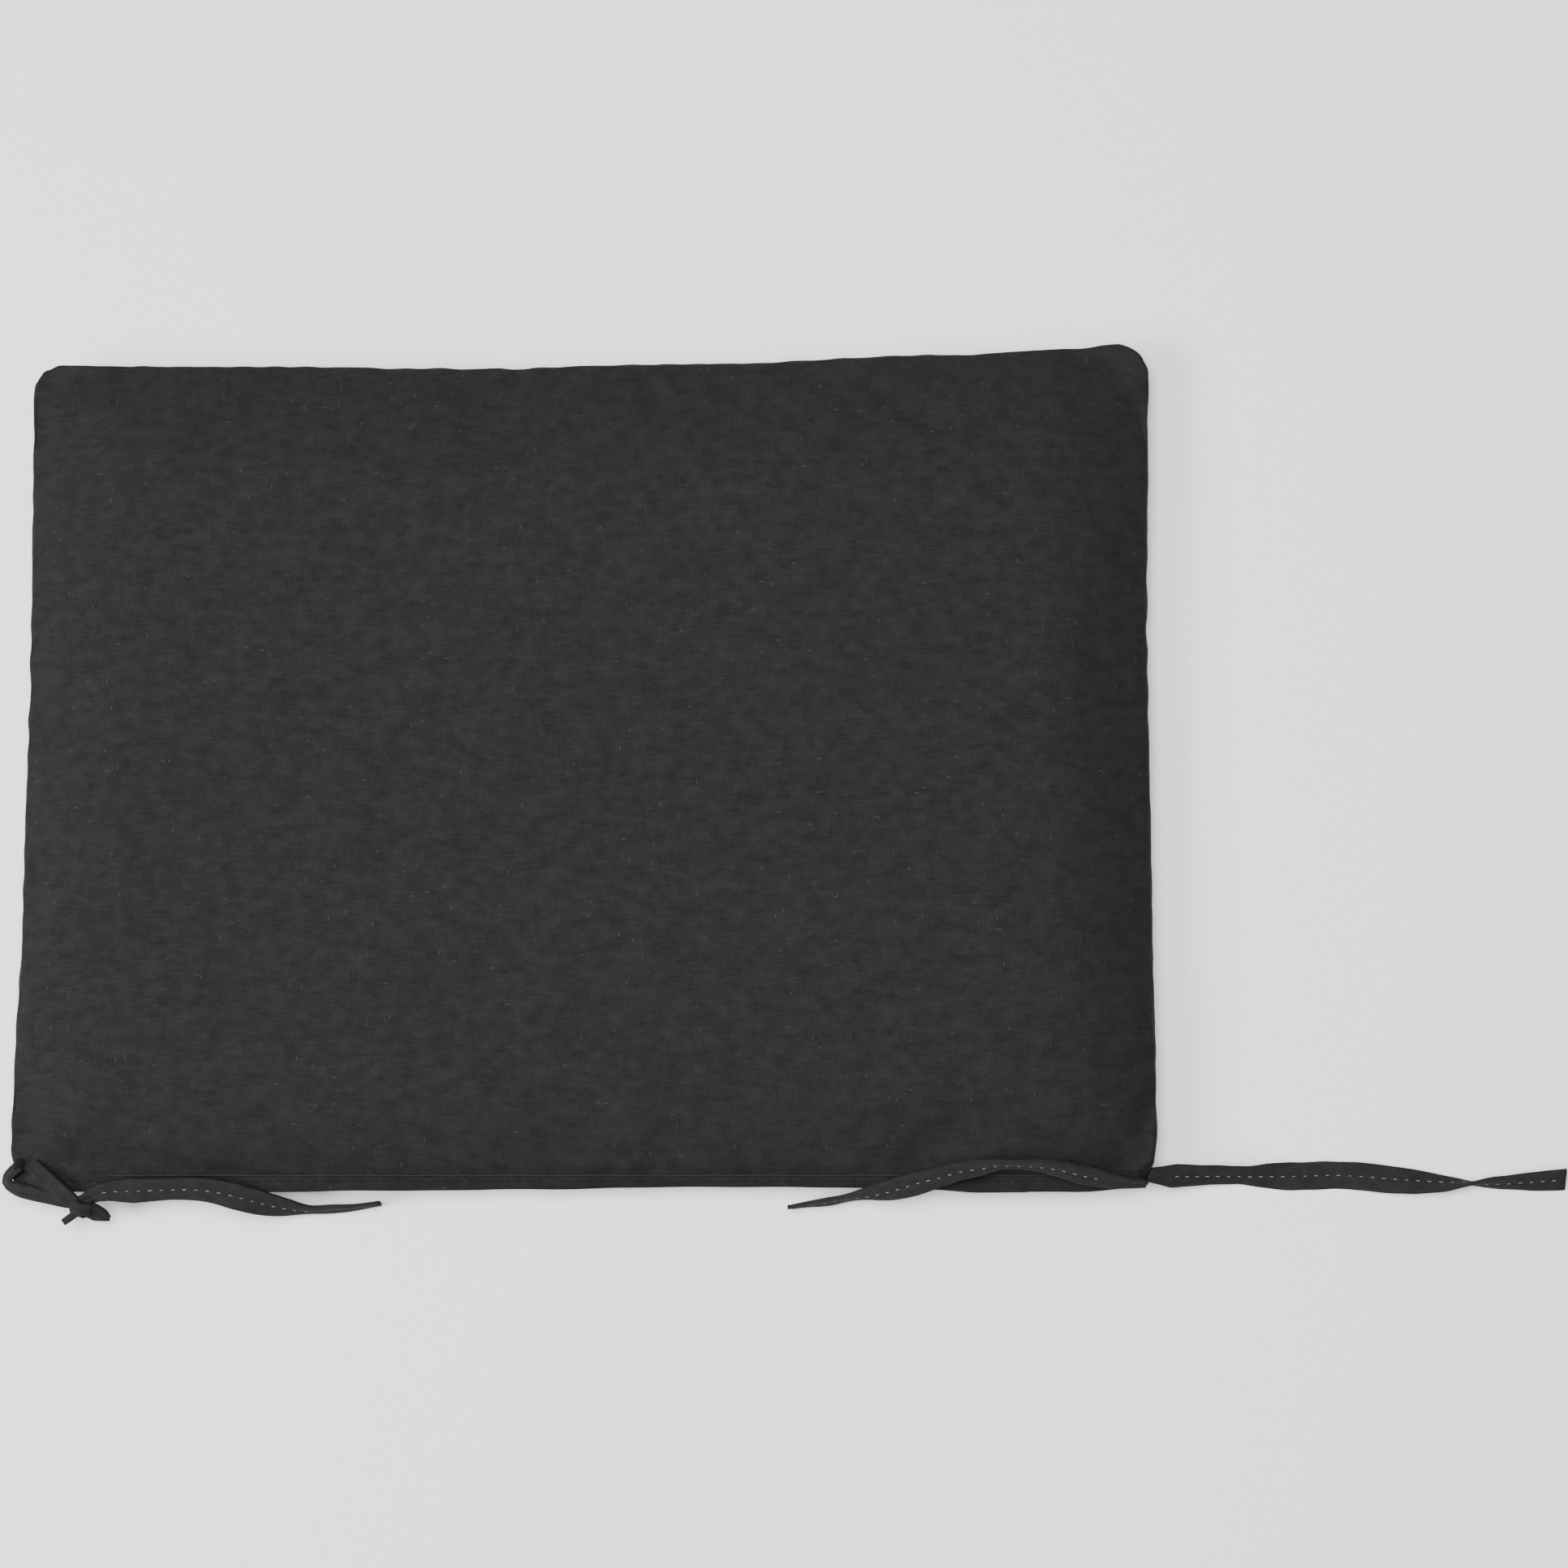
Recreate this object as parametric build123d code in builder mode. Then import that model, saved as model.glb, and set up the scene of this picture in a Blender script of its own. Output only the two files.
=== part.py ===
"""Chair seat pad: a knife-edge fabric cover over a wrapped foam core, closed at the rear by a coil
zip under a folded lip, with a pair of flat tie tapes at each rear corner.

Millimetres. +X is to the right, +Y towards the front of the seat and +Z up. The origin is on the
surface that the pad lies on, under the middle of the pad. The zip and the ties are on the -Y side.
"""

from build123d import *
import math
import os

# ---- Overall size ------------------------------------------------------------------------------
pad_width = 466.0  # corner to corner along X
pad_depth = 333.0  # rear wall to front corners along Y, without the lip
pad_thickness = 38.0
seam_height = 20.0  # where the top and bottom panels are sewn together
corner_radius = 14.0  # of the outline, seen from above
side_bow = 2.5  # how far the middle of each side is pulled in
front_bow = 4.0  # how far the middle of the front is pulled in
top_round = 13.0
bottom_round = 5.0

# ---- Layers ------------------------------------------------------------------------------------
cloth = 0.9
wadding = 2.2
layer_gap = 0.3  # air between one layer and the next
zip_room = 5.5  # from the rear wall's outside to the filling, which leaves the slider room

# ---- Lip over the zip --------------------------------------------------------------------------
lip_length = 418.0
lip_reach = 7.0
lip_thickness = 1.6
lip_fold_round = 0.7
lip_stitch_margin = 1.2  # from the rear wall to the row of stitches
stitch_pitch = 4.8
stitch_length = 3.4
stitch_width = 0.5
stitch_height = 0.3

# ---- Zip ---------------------------------------------------------------------------------------
window_length = 370.0
window_height = 10.0
window_drop = 2.0  # from the seam down to the window
tape_thickness = 0.6
tape_end = 7.0  # of tape past each end of the window
tape_turn = 2.8  # of the upper tape above the seam
tape_foot = 0.2  # from the rounded lower edge of the cover up to the lower tape
chain_gap = 1.3  # between the two halves, where the slider's neck runs
coil_width = 2.4
coil_height = 2.2
coil_round = 0.8
coil_clearance = 0.2  # to the ends of the window
tack_length = 1.6  # along the zip
tack_width = 7.0
tack_height = 0.5
tack_margin = 1.0  # from the end of the coil
seam_row_width = 0.5  # rows that sew the tapes to the cover
seam_row_height = 0.3
seam_row_margin = 0.8  # from the window's edge

# ---- Slider and pull tab -----------------------------------------------------------------------
run_clearance = 0.3
slider_length = 11.0
slider_side_gap = 0.4  # to the window's edges
outer_plate = 1.4
inner_plate = 1.0
inner_plate_width = 8.0
flange_thickness = 1.1
flange_clearance = 0.4
neck_length = 3.5
slider_round = 1.2
bail_width = 2.2
bail_leg = 1.3
bail_span = 7.0
bail_opening = 1.8
bail_bar = 0.8
pin_radius = 0.45
pin_offset = 0.9  # from the outer plate to the pin's axis
tab_width = 6.0
tab_length = 16.0  # from the pin's axis to the free end
tab_thickness = 1.0
tab_slot_width = 3.2
tab_slot_length = 5.6
tab_hole_radius = 1.1

# ---- Ties --------------------------------------------------------------------------------------
tie_width = 11.5
tie_thickness = 1.6
root_reach = 6.0  # of the folded end past the corner of the cover
root_thickness = 2.4
bartack_length = 9.0
bartack_width = 1.6
bartack_height = 0.4
bartack_margin = 1.6  # from the cover to the bartack
knot_size = (13.0, 10.0, 12.0)
knot_round = 4.0
knot_place = (-207.0, -175.6, 19.5)
knot_loop_width = 9.0
knot_loop_thickness = 3.2
knot_end_thickness = 1.8

# Points that each tie passes, from the corner of the cover to its free end.
right_outer_route = [
    (232.0, -162.0, 20.0),
    (243.0, -163.2, 16.8),
    (256.0, -162.6, 7.0),
    (271.0, -161.0, 1.9),
    (290.0, -162.2, 1.6),
    (311.0, -161.2, 1.6),
    (332.0, -162.8, 1.6),
    (352.0, -164.4, 1.6),
    (371.0, -164.6, 1.6),
    (388.0, -163.2, 1.6),
    (402.0, -162.4, 1.6),
]
right_inner_route = [
    (229.5, -165.5, 21.5),
    (217.0, -168.4, 25.5),
    (203.0, -165.6, 30.5),
    (186.0, -160.6, 35.4),
    (168.0, -160.6, 35.2),
    (150.0, -164.2, 33.0),
    (135.0, -168.4, 27.6),
    (120.0, -173.8, 21.2),
    (106.0, -175.8, 13.4),
    (94.0, -176.8, 8.0),
    (84.0, -177.0, 5.6),
]
left_loop_route = [
    (-230.6, -162.2, 20.0),
    (-235.9, -163.0, 19.8),
    (-238.3, -167.4, 19.6),
    (-233.6, -171.9, 19.4),
    (-223.0, -174.6, 19.4),
    (-212.0, -176.0, 19.5),
]
left_strand_route = [
    (-227.4, -165.2, 20.0),
    (-219.5, -168.4, 19.8),
    (-211.0, -173.4, 19.6),
]
left_long_route = [
    (-203.0, -174.6, 21.0),
    (-193.0, -170.4, 24.6),
    (-180.0, -168.6, 25.6),
    (-165.0, -169.4, 25.4),
    (-151.0, -171.0, 24.2),
    (-138.0, -173.6, 21.0),
    (-125.0, -175.4, 14.8),
    (-112.0, -176.8, 8.8),
    (-98.0, -176.4, 5.8),
    (-84.0, -175.6, 5.6),
]

# ---- Sizes that follow -------------------------------------------------------------------------
half_width = pad_width / 2
rear_y = -(pad_depth - lip_reach) / 2
front_y = rear_y + pad_depth
middle_y = (rear_y + front_y) / 2
inner_y = rear_y + cloth  # inside of the rear wall
filling_inset = cloth + layer_gap
foam_inset = filling_inset + wadding + layer_gap
top_fillet = min(top_round, pad_thickness - seam_height - tape_turn - layer_gap)
zip_height = seam_height - window_drop - window_height / 2  # where the two halves meet
slider_width = window_height - 2 * slider_side_gap
coil_length = window_length - 2 * coil_clearance
coil_outer_y = inner_y - coil_height
tape_back_y = inner_y + tape_thickness
tack_x = coil_length / 2 - tack_margin - tack_length / 2
plate_face_y = coil_outer_y - run_clearance - outer_plate
pin_y = plate_face_y - pin_offset
slider_x = tack_x - tack_length / 2 - run_clearance - slider_length / 2
slider_travel = 2 * slider_x


def pad_outline(plane, inset):
    """The pad's outline on a plane, pulled in by inset all round."""
    side = half_width - inset
    front = front_y - inset
    rear = rear_y + inset
    with BuildSketch(plane) as outline:
        with BuildLine():
            Line((-side, rear), (side, rear))
            ThreePointArc((side, rear), (side - side_bow, middle_y), (side, front))
            ThreePointArc((side, front), (0, front - front_bow), (-side, front))
            ThreePointArc((-side, front), (-side + side_bow, middle_y), (-side, rear))
        make_face()
        fillet(outline.vertices(), radius=corner_radius - inset)
    return outline.sketch


def pad_block(inset):
    """The pad's whole form, pulled in by inset all round, as a solid of its own."""
    with BuildPart() as block:
        extrude(pad_outline(Plane.XY.offset(inset), inset), amount=pad_thickness - 2 * inset)
        fillet(block.edges().group_by(Axis.Z)[-1], radius=top_fillet - inset)
        fillet(block.edges().group_by(Axis.Z)[0], radius=bottom_round - inset)
    return block.part


def bend_radii(route):
    """The arc at each corner of a route: as large as the two runs beside it allow."""
    points = [Vector(*point) for point in route]
    radii = []
    for before, here, after in zip(points, points[1:], points[2:]):
        turn = math.radians((here - before).get_angle(after - here))
        shorter = min((here - before).length, (after - here).length)
        radii.append(0.45 * shorter / math.tan(turn / 2))
    return radii


def tape_strip(label, route, across):
    """A strip of tie tape along a route, with its width along the direction across at its start."""
    radii = bend_radii(route)
    with BuildPart() as strip:
        with BuildLine() as path:
            FilletPolyline(*route, radius=radii)
        with BuildSketch(Plane(origin=path.line @ 0, x_dir=across, z_dir=path.line % 0)):
            Rectangle(tie_width, tie_thickness)
        sweep()
    length = sum(edge.length for edge in path.edges())
    expected = tie_width * tie_thickness * length
    print(f"{label}: length {length:.1f}, radii {[round(r, 1) for r in radii]},")
    print(f"  volume {strip.part.volume:.0f} of {expected:.0f}, lowest {strip.part.bounding_box().min.Z:.2f}")
    strip.part.label = label
    return strip


# ---- Cover -------------------------------------------------------------------------------------
with BuildPart() as top_panel:
    extrude(pad_outline(Plane.XY.offset(seam_height), 0), amount=pad_thickness - seam_height)
    fillet(top_panel.edges().group_by(Axis.Z)[-1], radius=top_fillet)
    offset(amount=-cloth, openings=top_panel.faces().sort_by(Axis.Z)[0])

with BuildPart() as bottom_panel:
    extrude(pad_outline(Plane.XY, 0), amount=seam_height)
    fillet(bottom_panel.edges().group_by(Axis.Z)[0], radius=bottom_round)
    offset(amount=-cloth, openings=bottom_panel.faces().sort_by(Axis.Z)[-1])
    with BuildSketch(Plane.XZ.offset(-inner_y)):
        with Locations((0, zip_height)):
            Rectangle(window_length, window_height)
    extrude(amount=2 * cloth, both=True, mode=Mode.SUBTRACT)

with BuildPart() as zip_lip:
    with BuildSketch(Plane.XY.offset(seam_height)):
        with Locations((0, rear_y - lip_reach / 2)):
            Rectangle(lip_length, lip_reach)
    extrude(amount=lip_thickness)
    fillet(zip_lip.edges().filter_by(Axis.X).group_by(Axis.Y)[0], radius=lip_fold_round)

with BuildPart() as lip_topstitch:
    with BuildSketch(Plane((0, rear_y - lip_stitch_margin, seam_height + lip_thickness))):
        with GridLocations(stitch_pitch, 0, int(lip_length // stitch_pitch) - 1, 1):
            Rectangle(stitch_length, stitch_width)
    extrude(amount=stitch_height)

# ---- Filling, cut off behind the zip -----------------------------------------------------------
filling_end = Plane.XZ.offset(-(rear_y + zip_room))

with BuildPart() as wadding_wrap:
    add(pad_block(filling_inset))
    add(pad_block(filling_inset + wadding), mode=Mode.SUBTRACT)
    split(bisect_by=filling_end, keep=Keep.BOTTOM)

with BuildPart() as foam_core:
    add(pad_block(foam_inset))
    split(bisect_by=filling_end, keep=Keep.BOTTOM)

# ---- Zip ---------------------------------------------------------------------------------------
upper_edge = zip_height + chain_gap / 2
lower_edge = zip_height - chain_gap / 2

zip_tapes = {}
for name, low, high in (
    ("zip_tape_upper", upper_edge, seam_height + tape_turn),
    ("zip_tape_lower", bottom_round + tape_foot, lower_edge),
):
    with BuildPart() as tape:
        with BuildSketch(Plane.XZ.offset(-tape_back_y)):
            with Locations((0, (low + high) / 2)):
                Rectangle(window_length + 2 * tape_end, high - low)
        extrude(amount=tape_thickness)
    zip_tapes[name] = tape

coils = {}
for name, height in (
    ("zip_coil_upper", upper_edge + coil_width / 2),
    ("zip_coil_lower", lower_edge - coil_width / 2),
):
    with BuildPart() as coil:
        with BuildSketch(Plane.XZ.offset(-inner_y)):
            with Locations((0, height)):
                Rectangle(coil_length, coil_width)
        extrude(amount=coil_height)
        fillet(coil.edges().filter_by(Axis.X).group_by(Axis.Y)[0], radius=coil_round)
    coils[name] = coil

with BuildPart() as zip_end_tacks:
    with BuildSketch(Plane.XZ.offset(-coil_outer_y)):
        with Locations((-tack_x, zip_height), (tack_x, zip_height)):
            Rectangle(tack_length, tack_width)
    extrude(amount=tack_height)

with BuildPart() as zip_seam_rows:
    with BuildSketch(Plane.XZ.offset(-rear_y)):
        row_offset = window_height / 2 + seam_row_margin
        with Locations((0, zip_height - row_offset), (0, zip_height + row_offset)):
            Rectangle(window_length, seam_row_width)
    extrude(amount=seam_row_height)

# ---- Slider and pull tab -----------------------------------------------------------------------
with BuildPart() as zip_slider:
    # outer plate
    with BuildSketch(Plane.XZ.offset(-plate_face_y)):
        with Locations((slider_x, zip_height)):
            RectangleRounded(slider_length, slider_width, slider_round)
    extrude(amount=-outer_plate)
    # the two edges that are turned in round the coil
    with BuildSketch(Plane.XZ.offset(-plate_face_y)):
        flange_offset = (slider_width - flange_thickness) / 2
        with Locations((slider_x, zip_height - flange_offset), (slider_x, zip_height + flange_offset)):
            Rectangle(slider_length - 2 * slider_round, flange_thickness)
    extrude(amount=-(inner_y - flange_clearance - plate_face_y))
    # inner plate, behind the tapes
    with BuildSketch(Plane.XZ.offset(-(tape_back_y + run_clearance))):
        with Locations((slider_x, zip_height)):
            RectangleRounded(slider_length, inner_plate_width, slider_round)
    extrude(amount=-inner_plate)
    # neck between the plates, at the end that leads when the zip closes
    with BuildSketch(Plane.XZ.offset(-plate_face_y)):
        with Locations((slider_x + (slider_length - neck_length) / 2 - slider_round, zip_height)):
            Rectangle(neck_length, chain_gap - 2 * run_clearance)
    extrude(amount=-(tape_back_y + run_clearance + inner_plate / 2 - plate_face_y))

with BuildPart() as zip_slider_bail:
    with BuildSketch(Plane.XY.offset(zip_height - bail_width / 2)):
        with Locations((slider_x, plate_face_y)):
            Rectangle(bail_span, bail_opening + bail_bar, align=(Align.CENTER, Align.MAX))
            Rectangle(
                bail_span - 2 * bail_leg,
                bail_opening,
                align=(Align.CENTER, Align.MAX),
                mode=Mode.SUBTRACT,
            )
    extrude(amount=bail_width)
    fillet(zip_slider_bail.edges().filter_by(Axis.Z).group_by(Axis.Y)[0], radius=bail_bar / 2)

with BuildPart() as zip_pull_tab:
    with BuildSketch(Plane.XZ.offset(-(pin_y + tab_thickness / 2))):
        with Locations((slider_x, zip_height)):
            Rectangle(tab_length, tab_width, align=(Align.MAX, Align.CENTER))
        with Locations((slider_x, zip_height)):
            Rectangle(
                tab_slot_length,
                tab_slot_width,
                align=(Align.MAX, Align.CENTER),
                mode=Mode.SUBTRACT,
            )
        with Locations((slider_x - tab_length + tab_width / 2, zip_height)):
            Circle(tab_hole_radius, mode=Mode.SUBTRACT)
    extrude(amount=tab_thickness)
    fillet(zip_pull_tab.edges().filter_by(Axis.Y).group_by(Axis.X)[0], radius=tab_width / 3)
    # the pin that the bail holds
    with BuildSketch(Plane.XY.offset(zip_height - tab_width / 2)):
        with Locations((slider_x, pin_y)):
            Circle(pin_radius)
    extrude(amount=tab_width)

# ---- Ties --------------------------------------------------------------------------------------
corner_x = half_width - corner_radius * (1 - math.cos(math.radians(45)))
corner_y = rear_y + corner_radius * (1 - math.sin(math.radians(45)))
diagonal = math.cos(math.radians(45))

tie_roots = {}
for name, side in (("left", -1), ("right", 1)):
    with BuildPart() as root:
        with BuildSketch(Plane.XY.offset(seam_height - root_thickness / 2)):
            with Locations((side * corner_x, corner_y)):
                Rectangle(2 * root_reach, tie_width, rotation=-45 * side)
        extrude(amount=root_thickness)
        cover = pad_outline(Plane.XY.offset(seam_height - root_thickness), 0)
        extrude(cover, amount=2 * root_thickness, mode=Mode.SUBTRACT)
    tie_roots[f"{name}_tie_root"] = root

    tack_reach = (bartack_margin + bartack_width / 2) * diagonal
    with BuildPart() as bartack:
        with BuildSketch(Plane.XY.offset(seam_height + root_thickness / 2)):
            with Locations((side * (corner_x + tack_reach), corner_y - tack_reach)):
                Rectangle(bartack_width, bartack_length, rotation=-45 * side)
        extrude(amount=bartack_height)
    tie_roots[f"{name}_tie_bartack"] = bartack

leaning = (0, 1, 1)  # the tapes that lean on the lip have their inner edge up
right_outer = tape_strip("right_tie_outer_tail", right_outer_route, (0, 1, 0))
right_inner = tape_strip("right_tie_inner_tail", right_inner_route, leaning)
left_loop = tape_strip("left_tie_loop", left_loop_route, (0, 0, 1))
left_strand = tape_strip("left_tie_short_tail", left_strand_route, (0, 0, 1))
left_long = tape_strip("left_tie_long_tail", left_long_route, leaning)

with BuildPart() as left_tie_knot:
    with Locations(knot_place):
        Box(*knot_size)
    fillet(left_tie_knot.edges(), radius=knot_round)
    # the slipped loop and the short end, which hang from the knot
    knot = Vector(*knot_place)
    with BuildSketch(Plane(origin=knot, x_dir=(1, -0.5, -0.9), z_dir=(0.5, 1, 0))):
        Rectangle(14.5, knot_loop_width, align=(Align.MIN, Align.CENTER))
    extrude(amount=knot_loop_thickness / 2, both=True)
    with BuildSketch(Plane(origin=knot, x_dir=(-0.5, -0.7, -1.2), z_dir=(0.7, -0.5, 0))):
        Rectangle(13.5, knot_loop_width, align=(Align.MIN, Align.CENTER))
    extrude(amount=knot_end_thickness / 2, both=True)

# ---- Export ------------------------------------------------------------------------------------
pieces = {
    "top_panel": top_panel,
    "bottom_panel": bottom_panel,
    "zip_lip": zip_lip,
    "lip_topstitch": lip_topstitch,
    "wadding_wrap": wadding_wrap,
    "foam_core": foam_core,
    **zip_tapes,
    **coils,
    "zip_end_tacks": zip_end_tacks,
    "zip_seam_rows": zip_seam_rows,
    "zip_slider": zip_slider,
    "zip_slider_bail": zip_slider_bail,
    "zip_pull_tab": zip_pull_tab,
    **tie_roots,
    "left_tie_loop": left_loop,
    "left_tie_short_tail": left_strand,
    "left_tie_knot": left_tie_knot,
    "left_tie_long_tail": left_long,
    "right_tie_outer_tail": right_outer,
    "right_tie_inner_tail": right_inner,
}
os.makedirs("parts", exist_ok=True)
for name, piece in pieces.items():
    piece.part.label = name
    export_step(piece.part, f"parts/{name}.step")
print(f"slider at x {slider_x:.2f}, travel {slider_travel:.2f}, pin at y {pin_y:.2f}, z {zip_height:.2f}")
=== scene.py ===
"""Chair seat pad: a heathered cloth cover over foam, a coil zip under a rear lip, and tie tapes."""
import logging
import math
from dataclasses import dataclass, field
from enum import Enum
from typing import ClassVar

import bpy
import numpy as np
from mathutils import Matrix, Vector


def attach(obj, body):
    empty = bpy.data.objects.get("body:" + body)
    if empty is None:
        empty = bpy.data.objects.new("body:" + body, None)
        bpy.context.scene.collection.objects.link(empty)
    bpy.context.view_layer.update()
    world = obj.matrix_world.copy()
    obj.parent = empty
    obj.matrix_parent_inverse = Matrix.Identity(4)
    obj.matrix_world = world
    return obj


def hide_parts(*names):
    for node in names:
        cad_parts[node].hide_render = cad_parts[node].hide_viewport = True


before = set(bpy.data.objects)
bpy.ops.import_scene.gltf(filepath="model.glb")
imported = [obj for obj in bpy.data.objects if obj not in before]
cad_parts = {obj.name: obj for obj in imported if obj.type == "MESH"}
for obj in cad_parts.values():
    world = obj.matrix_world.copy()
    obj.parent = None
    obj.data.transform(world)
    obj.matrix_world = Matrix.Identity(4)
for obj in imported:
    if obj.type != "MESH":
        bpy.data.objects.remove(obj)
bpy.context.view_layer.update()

log = logging.getLogger("seat_pad")
logging.basicConfig(level=logging.INFO, format="%(name)s: %(message)s")

Point = tuple[float, float, float]
MM = 0.001


class Body(Enum):
    """The body that this script's own pieces ride on: the slider and its tab stay as they are in the CAD."""

    COVER = "cover"


class Slot(Enum):
    """The record's material slots."""

    CLOTH = "cover_cloth"
    TAPE = "tie_tape"
    DARK_THREAD = "dark_thread"
    ZIP_TAPE = "zip_tape"
    ZIP_COIL = "zip_coil"
    FOAM = "foam"
    WADDING = "wadding"


# ---- Node helpers ------------------------------------------------------------------------------
def feed(tree: bpy.types.NodeTree, node: bpy.types.Node, links: dict) -> None:
    """Sets a node's inputs, each to a value or to the output socket that feeds it."""
    for key, value in links.items():
        if isinstance(value, bpy.types.NodeSocket):
            tree.links.new(value, node.inputs[key])
        else:
            node.inputs[key].default_value = value


def add_node(tree: bpy.types.NodeTree, kind: str, links: dict | None = None, **settings: object):
    """Adds a node, with its settings and inputs.

    Args:
        tree: the tree that gets the node.
        kind: the node's type name.
        links: input name or number to a value, or to the output socket that feeds it.
        settings: attributes of the node.

    Returns:
        The new node.
    """
    node = tree.nodes.new(kind)
    for name, value in settings.items():
        setattr(node, name, value)
    feed(tree, node, links or {})
    return node


def math_node(tree: bpy.types.NodeTree, operation: str, *values: object) -> bpy.types.NodeSocket:
    """Adds a Math node and returns its output."""
    return add_node(tree, "ShaderNodeMath", dict(enumerate(values)), operation=operation).outputs[0]


def map_range(
    tree: bpy.types.NodeTree, value: object, low: float, high: float, to_low: float, to_high: float
) -> bpy.types.NodeSocket:
    """Adds a clamped Map Range node and returns its output."""
    links = {0: value, 1: low, 2: high, 3: to_low, 4: to_high}
    return add_node(tree, "ShaderNodeMapRange", links).outputs[0]


def mix_colour(tree: bpy.types.NodeTree, factor: object, first: object, second: object):
    """Adds a colour Mix node and returns its output."""
    pair = [v if isinstance(v, bpy.types.NodeSocket) else (*v, 1.0) for v in (first, second)]
    links = {0: factor, 6: pair[0], 7: pair[1]}
    return add_node(tree, "ShaderNodeMix", links, data_type="RGBA").outputs[2]


def new_group(name: str, kind: str, inputs: list, outputs: list) -> tuple:
    """Makes a node group with named sockets.

    Args:
        name: the group's name.
        kind: ShaderNodeTree or GeometryNodeTree.
        inputs: (name, socket type, default) for each input.
        outputs: (name, socket type) for each output.

    Returns:
        The tree, its input node and its output node.
    """
    tree = bpy.data.node_groups.new(name, kind)
    for label, socket_type, default in inputs:
        socket = tree.interface.new_socket(name=label, in_out="INPUT", socket_type=socket_type)
        if default is not None:
            socket.default_value = default
    for label, socket_type in outputs:
        tree.interface.new_socket(name=label, in_out="OUTPUT", socket_type=socket_type)
    return tree, tree.nodes.new("NodeGroupInput"), tree.nodes.new("NodeGroupOutput")


def plain_weave_group() -> bpy.types.NodeTree:
    """Heathered plain weave on a cloth's own coordinates, in metres.

    Returns:
        A shader group with Color, Height and Roughness outputs.
    """
    existing = bpy.data.node_groups.get("heathered_weave")
    if existing:
        return existing
    flt, col = "NodeSocketFloat", "NodeSocketColor"
    inputs = [
        ("Vector", "NodeSocketVector", None),
        ("Dark Yarn", col, (0.02, 0.02, 0.02, 1)),
        ("Light Yarn", col, (0.05, 0.05, 0.05, 1)),
        ("Fleck", col, (0.3, 0.3, 0.3, 1)),
        ("Yarn Pitch", flt, 0.0006),
        ("Slub Length", flt, 0.006),
        ("Slub Strength", flt, 0.5),
        ("Fleck Amount", flt, 0.5),
    ]
    tree, enter, leave = new_group(
        "heathered_weave", "ShaderNodeTree", inputs, [("Color", col), ("Height", flt), ("Roughness", flt)]
    )
    parts = add_node(tree, "ShaderNodeSeparateXYZ", {0: enter.outputs["Vector"]}).outputs
    pitch = enter.outputs["Yarn Pitch"]
    slub = enter.outputs["Slub Length"]

    def in_slubs(along_x: float, along_y: float) -> list[bpy.types.NodeSocket]:
        """The cloth's x and y, counted in cells of along_x by along_y slub lengths."""
        cells = [math_node(tree, "MULTIPLY", slub, along) for along in (along_x, along_y)]
        return [math_node(tree, "DIVIDE", parts[axis], cell) for axis, cell in enumerate(cells)]

    def stretched(along_x: float, along_y: float, detail: float, shift: float) -> bpy.types.NodeSocket:
        """Noise whose cells are along_x by along_y slub lengths."""
        x, y = in_slubs(along_x, along_y)
        both = add_node(tree, "ShaderNodeCombineXYZ", {0: x, 1: y, 2: shift}).outputs[0]
        links = {"Vector": both, "Scale": 1.0, "Detail": detail, "Roughness": 0.6}
        return add_node(tree, "ShaderNodeTexNoise", links).outputs["Fac"]

    weft = map_range(tree, stretched(1.0, 0.085, 2.0, 3.7), 0.32, 0.68, 0.0, 1.0)
    warp = map_range(tree, stretched(0.085, 1.0, 2.0, 9.1), 0.34, 0.72, 0.0, 1.0)
    cloudy = map_range(tree, stretched(1.1, 0.8, 3.0, 1.3), 0.34, 0.66, 0.0, 1.0)
    fine = map_range(tree, stretched(0.16, 0.09, 1.0, 5.9), 0.3, 0.7, 0.0, 1.0)

    # the two sets of yarns, over and under each other
    ridges = []
    for side in (0, 1):
        turn = math_node(tree, "MULTIPLY", math_node(tree, "DIVIDE", parts[side], pitch), math.pi)
        ridges.append(math_node(tree, "SINE", turn))
    crossing = math_node(tree, "MULTIPLY", ridges[0], ridges[1])
    weave = map_range(tree, crossing, -1.0, 1.0, 0.0, 1.0)

    streaks = math_node(tree, "MULTIPLY", weft, 0.3)
    for yarn, part in ((warp, 0.22), (cloudy, 0.36), (fine, 0.22)):
        streaks = math_node(tree, "ADD", streaks, math_node(tree, "MULTIPLY", yarn, part))
    centred = math_node(tree, "SUBTRACT", streaks, 0.55)
    contrast = math_node(tree, "MULTIPLY", centred, enter.outputs["Slub Strength"])
    tone = math_node(tree, "ADD", contrast, 0.5)
    crossings = math_node(tree, "MULTIPLY", math_node(tree, "SUBTRACT", weave, 0.5), 0.3)
    tone = math_node(tree, "ADD", tone, crossings)
    tone = map_range(tree, tone, 0.0, 1.0, 0.0, 1.0)
    colour = mix_colour(tree, tone, enter.outputs["Dark Yarn"], enter.outputs["Light Yarn"])

    def flecks(along_x: float, along_y: float, shift: float) -> bpy.types.NodeSocket:
        """A mask of scattered short neps, along_x by along_y slub lengths each."""
        x, y = in_slubs(along_x, along_y)
        moved = {0: math_node(tree, "ADD", x, shift), 1: y}
        links = {"Vector": add_node(tree, "ShaderNodeCombineXYZ", moved).outputs[0], "Scale": 1.0}
        spots = add_node(tree, "ShaderNodeTexVoronoi", links, voronoi_dimensions="2D")
        chance = add_node(tree, "ShaderNodeSeparateColor", {0: spots.outputs["Color"]}).outputs[0]
        bar = math_node(tree, "SUBTRACT", 1.0, enter.outputs["Fleck Amount"])
        rare = math_node(tree, "GREATER_THAN", chance, bar)
        core = map_range(tree, spots.outputs["Distance"], 0.1, 0.4, 1.0, 0.0)
        return math_node(tree, "MULTIPLY", rare, core)

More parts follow.
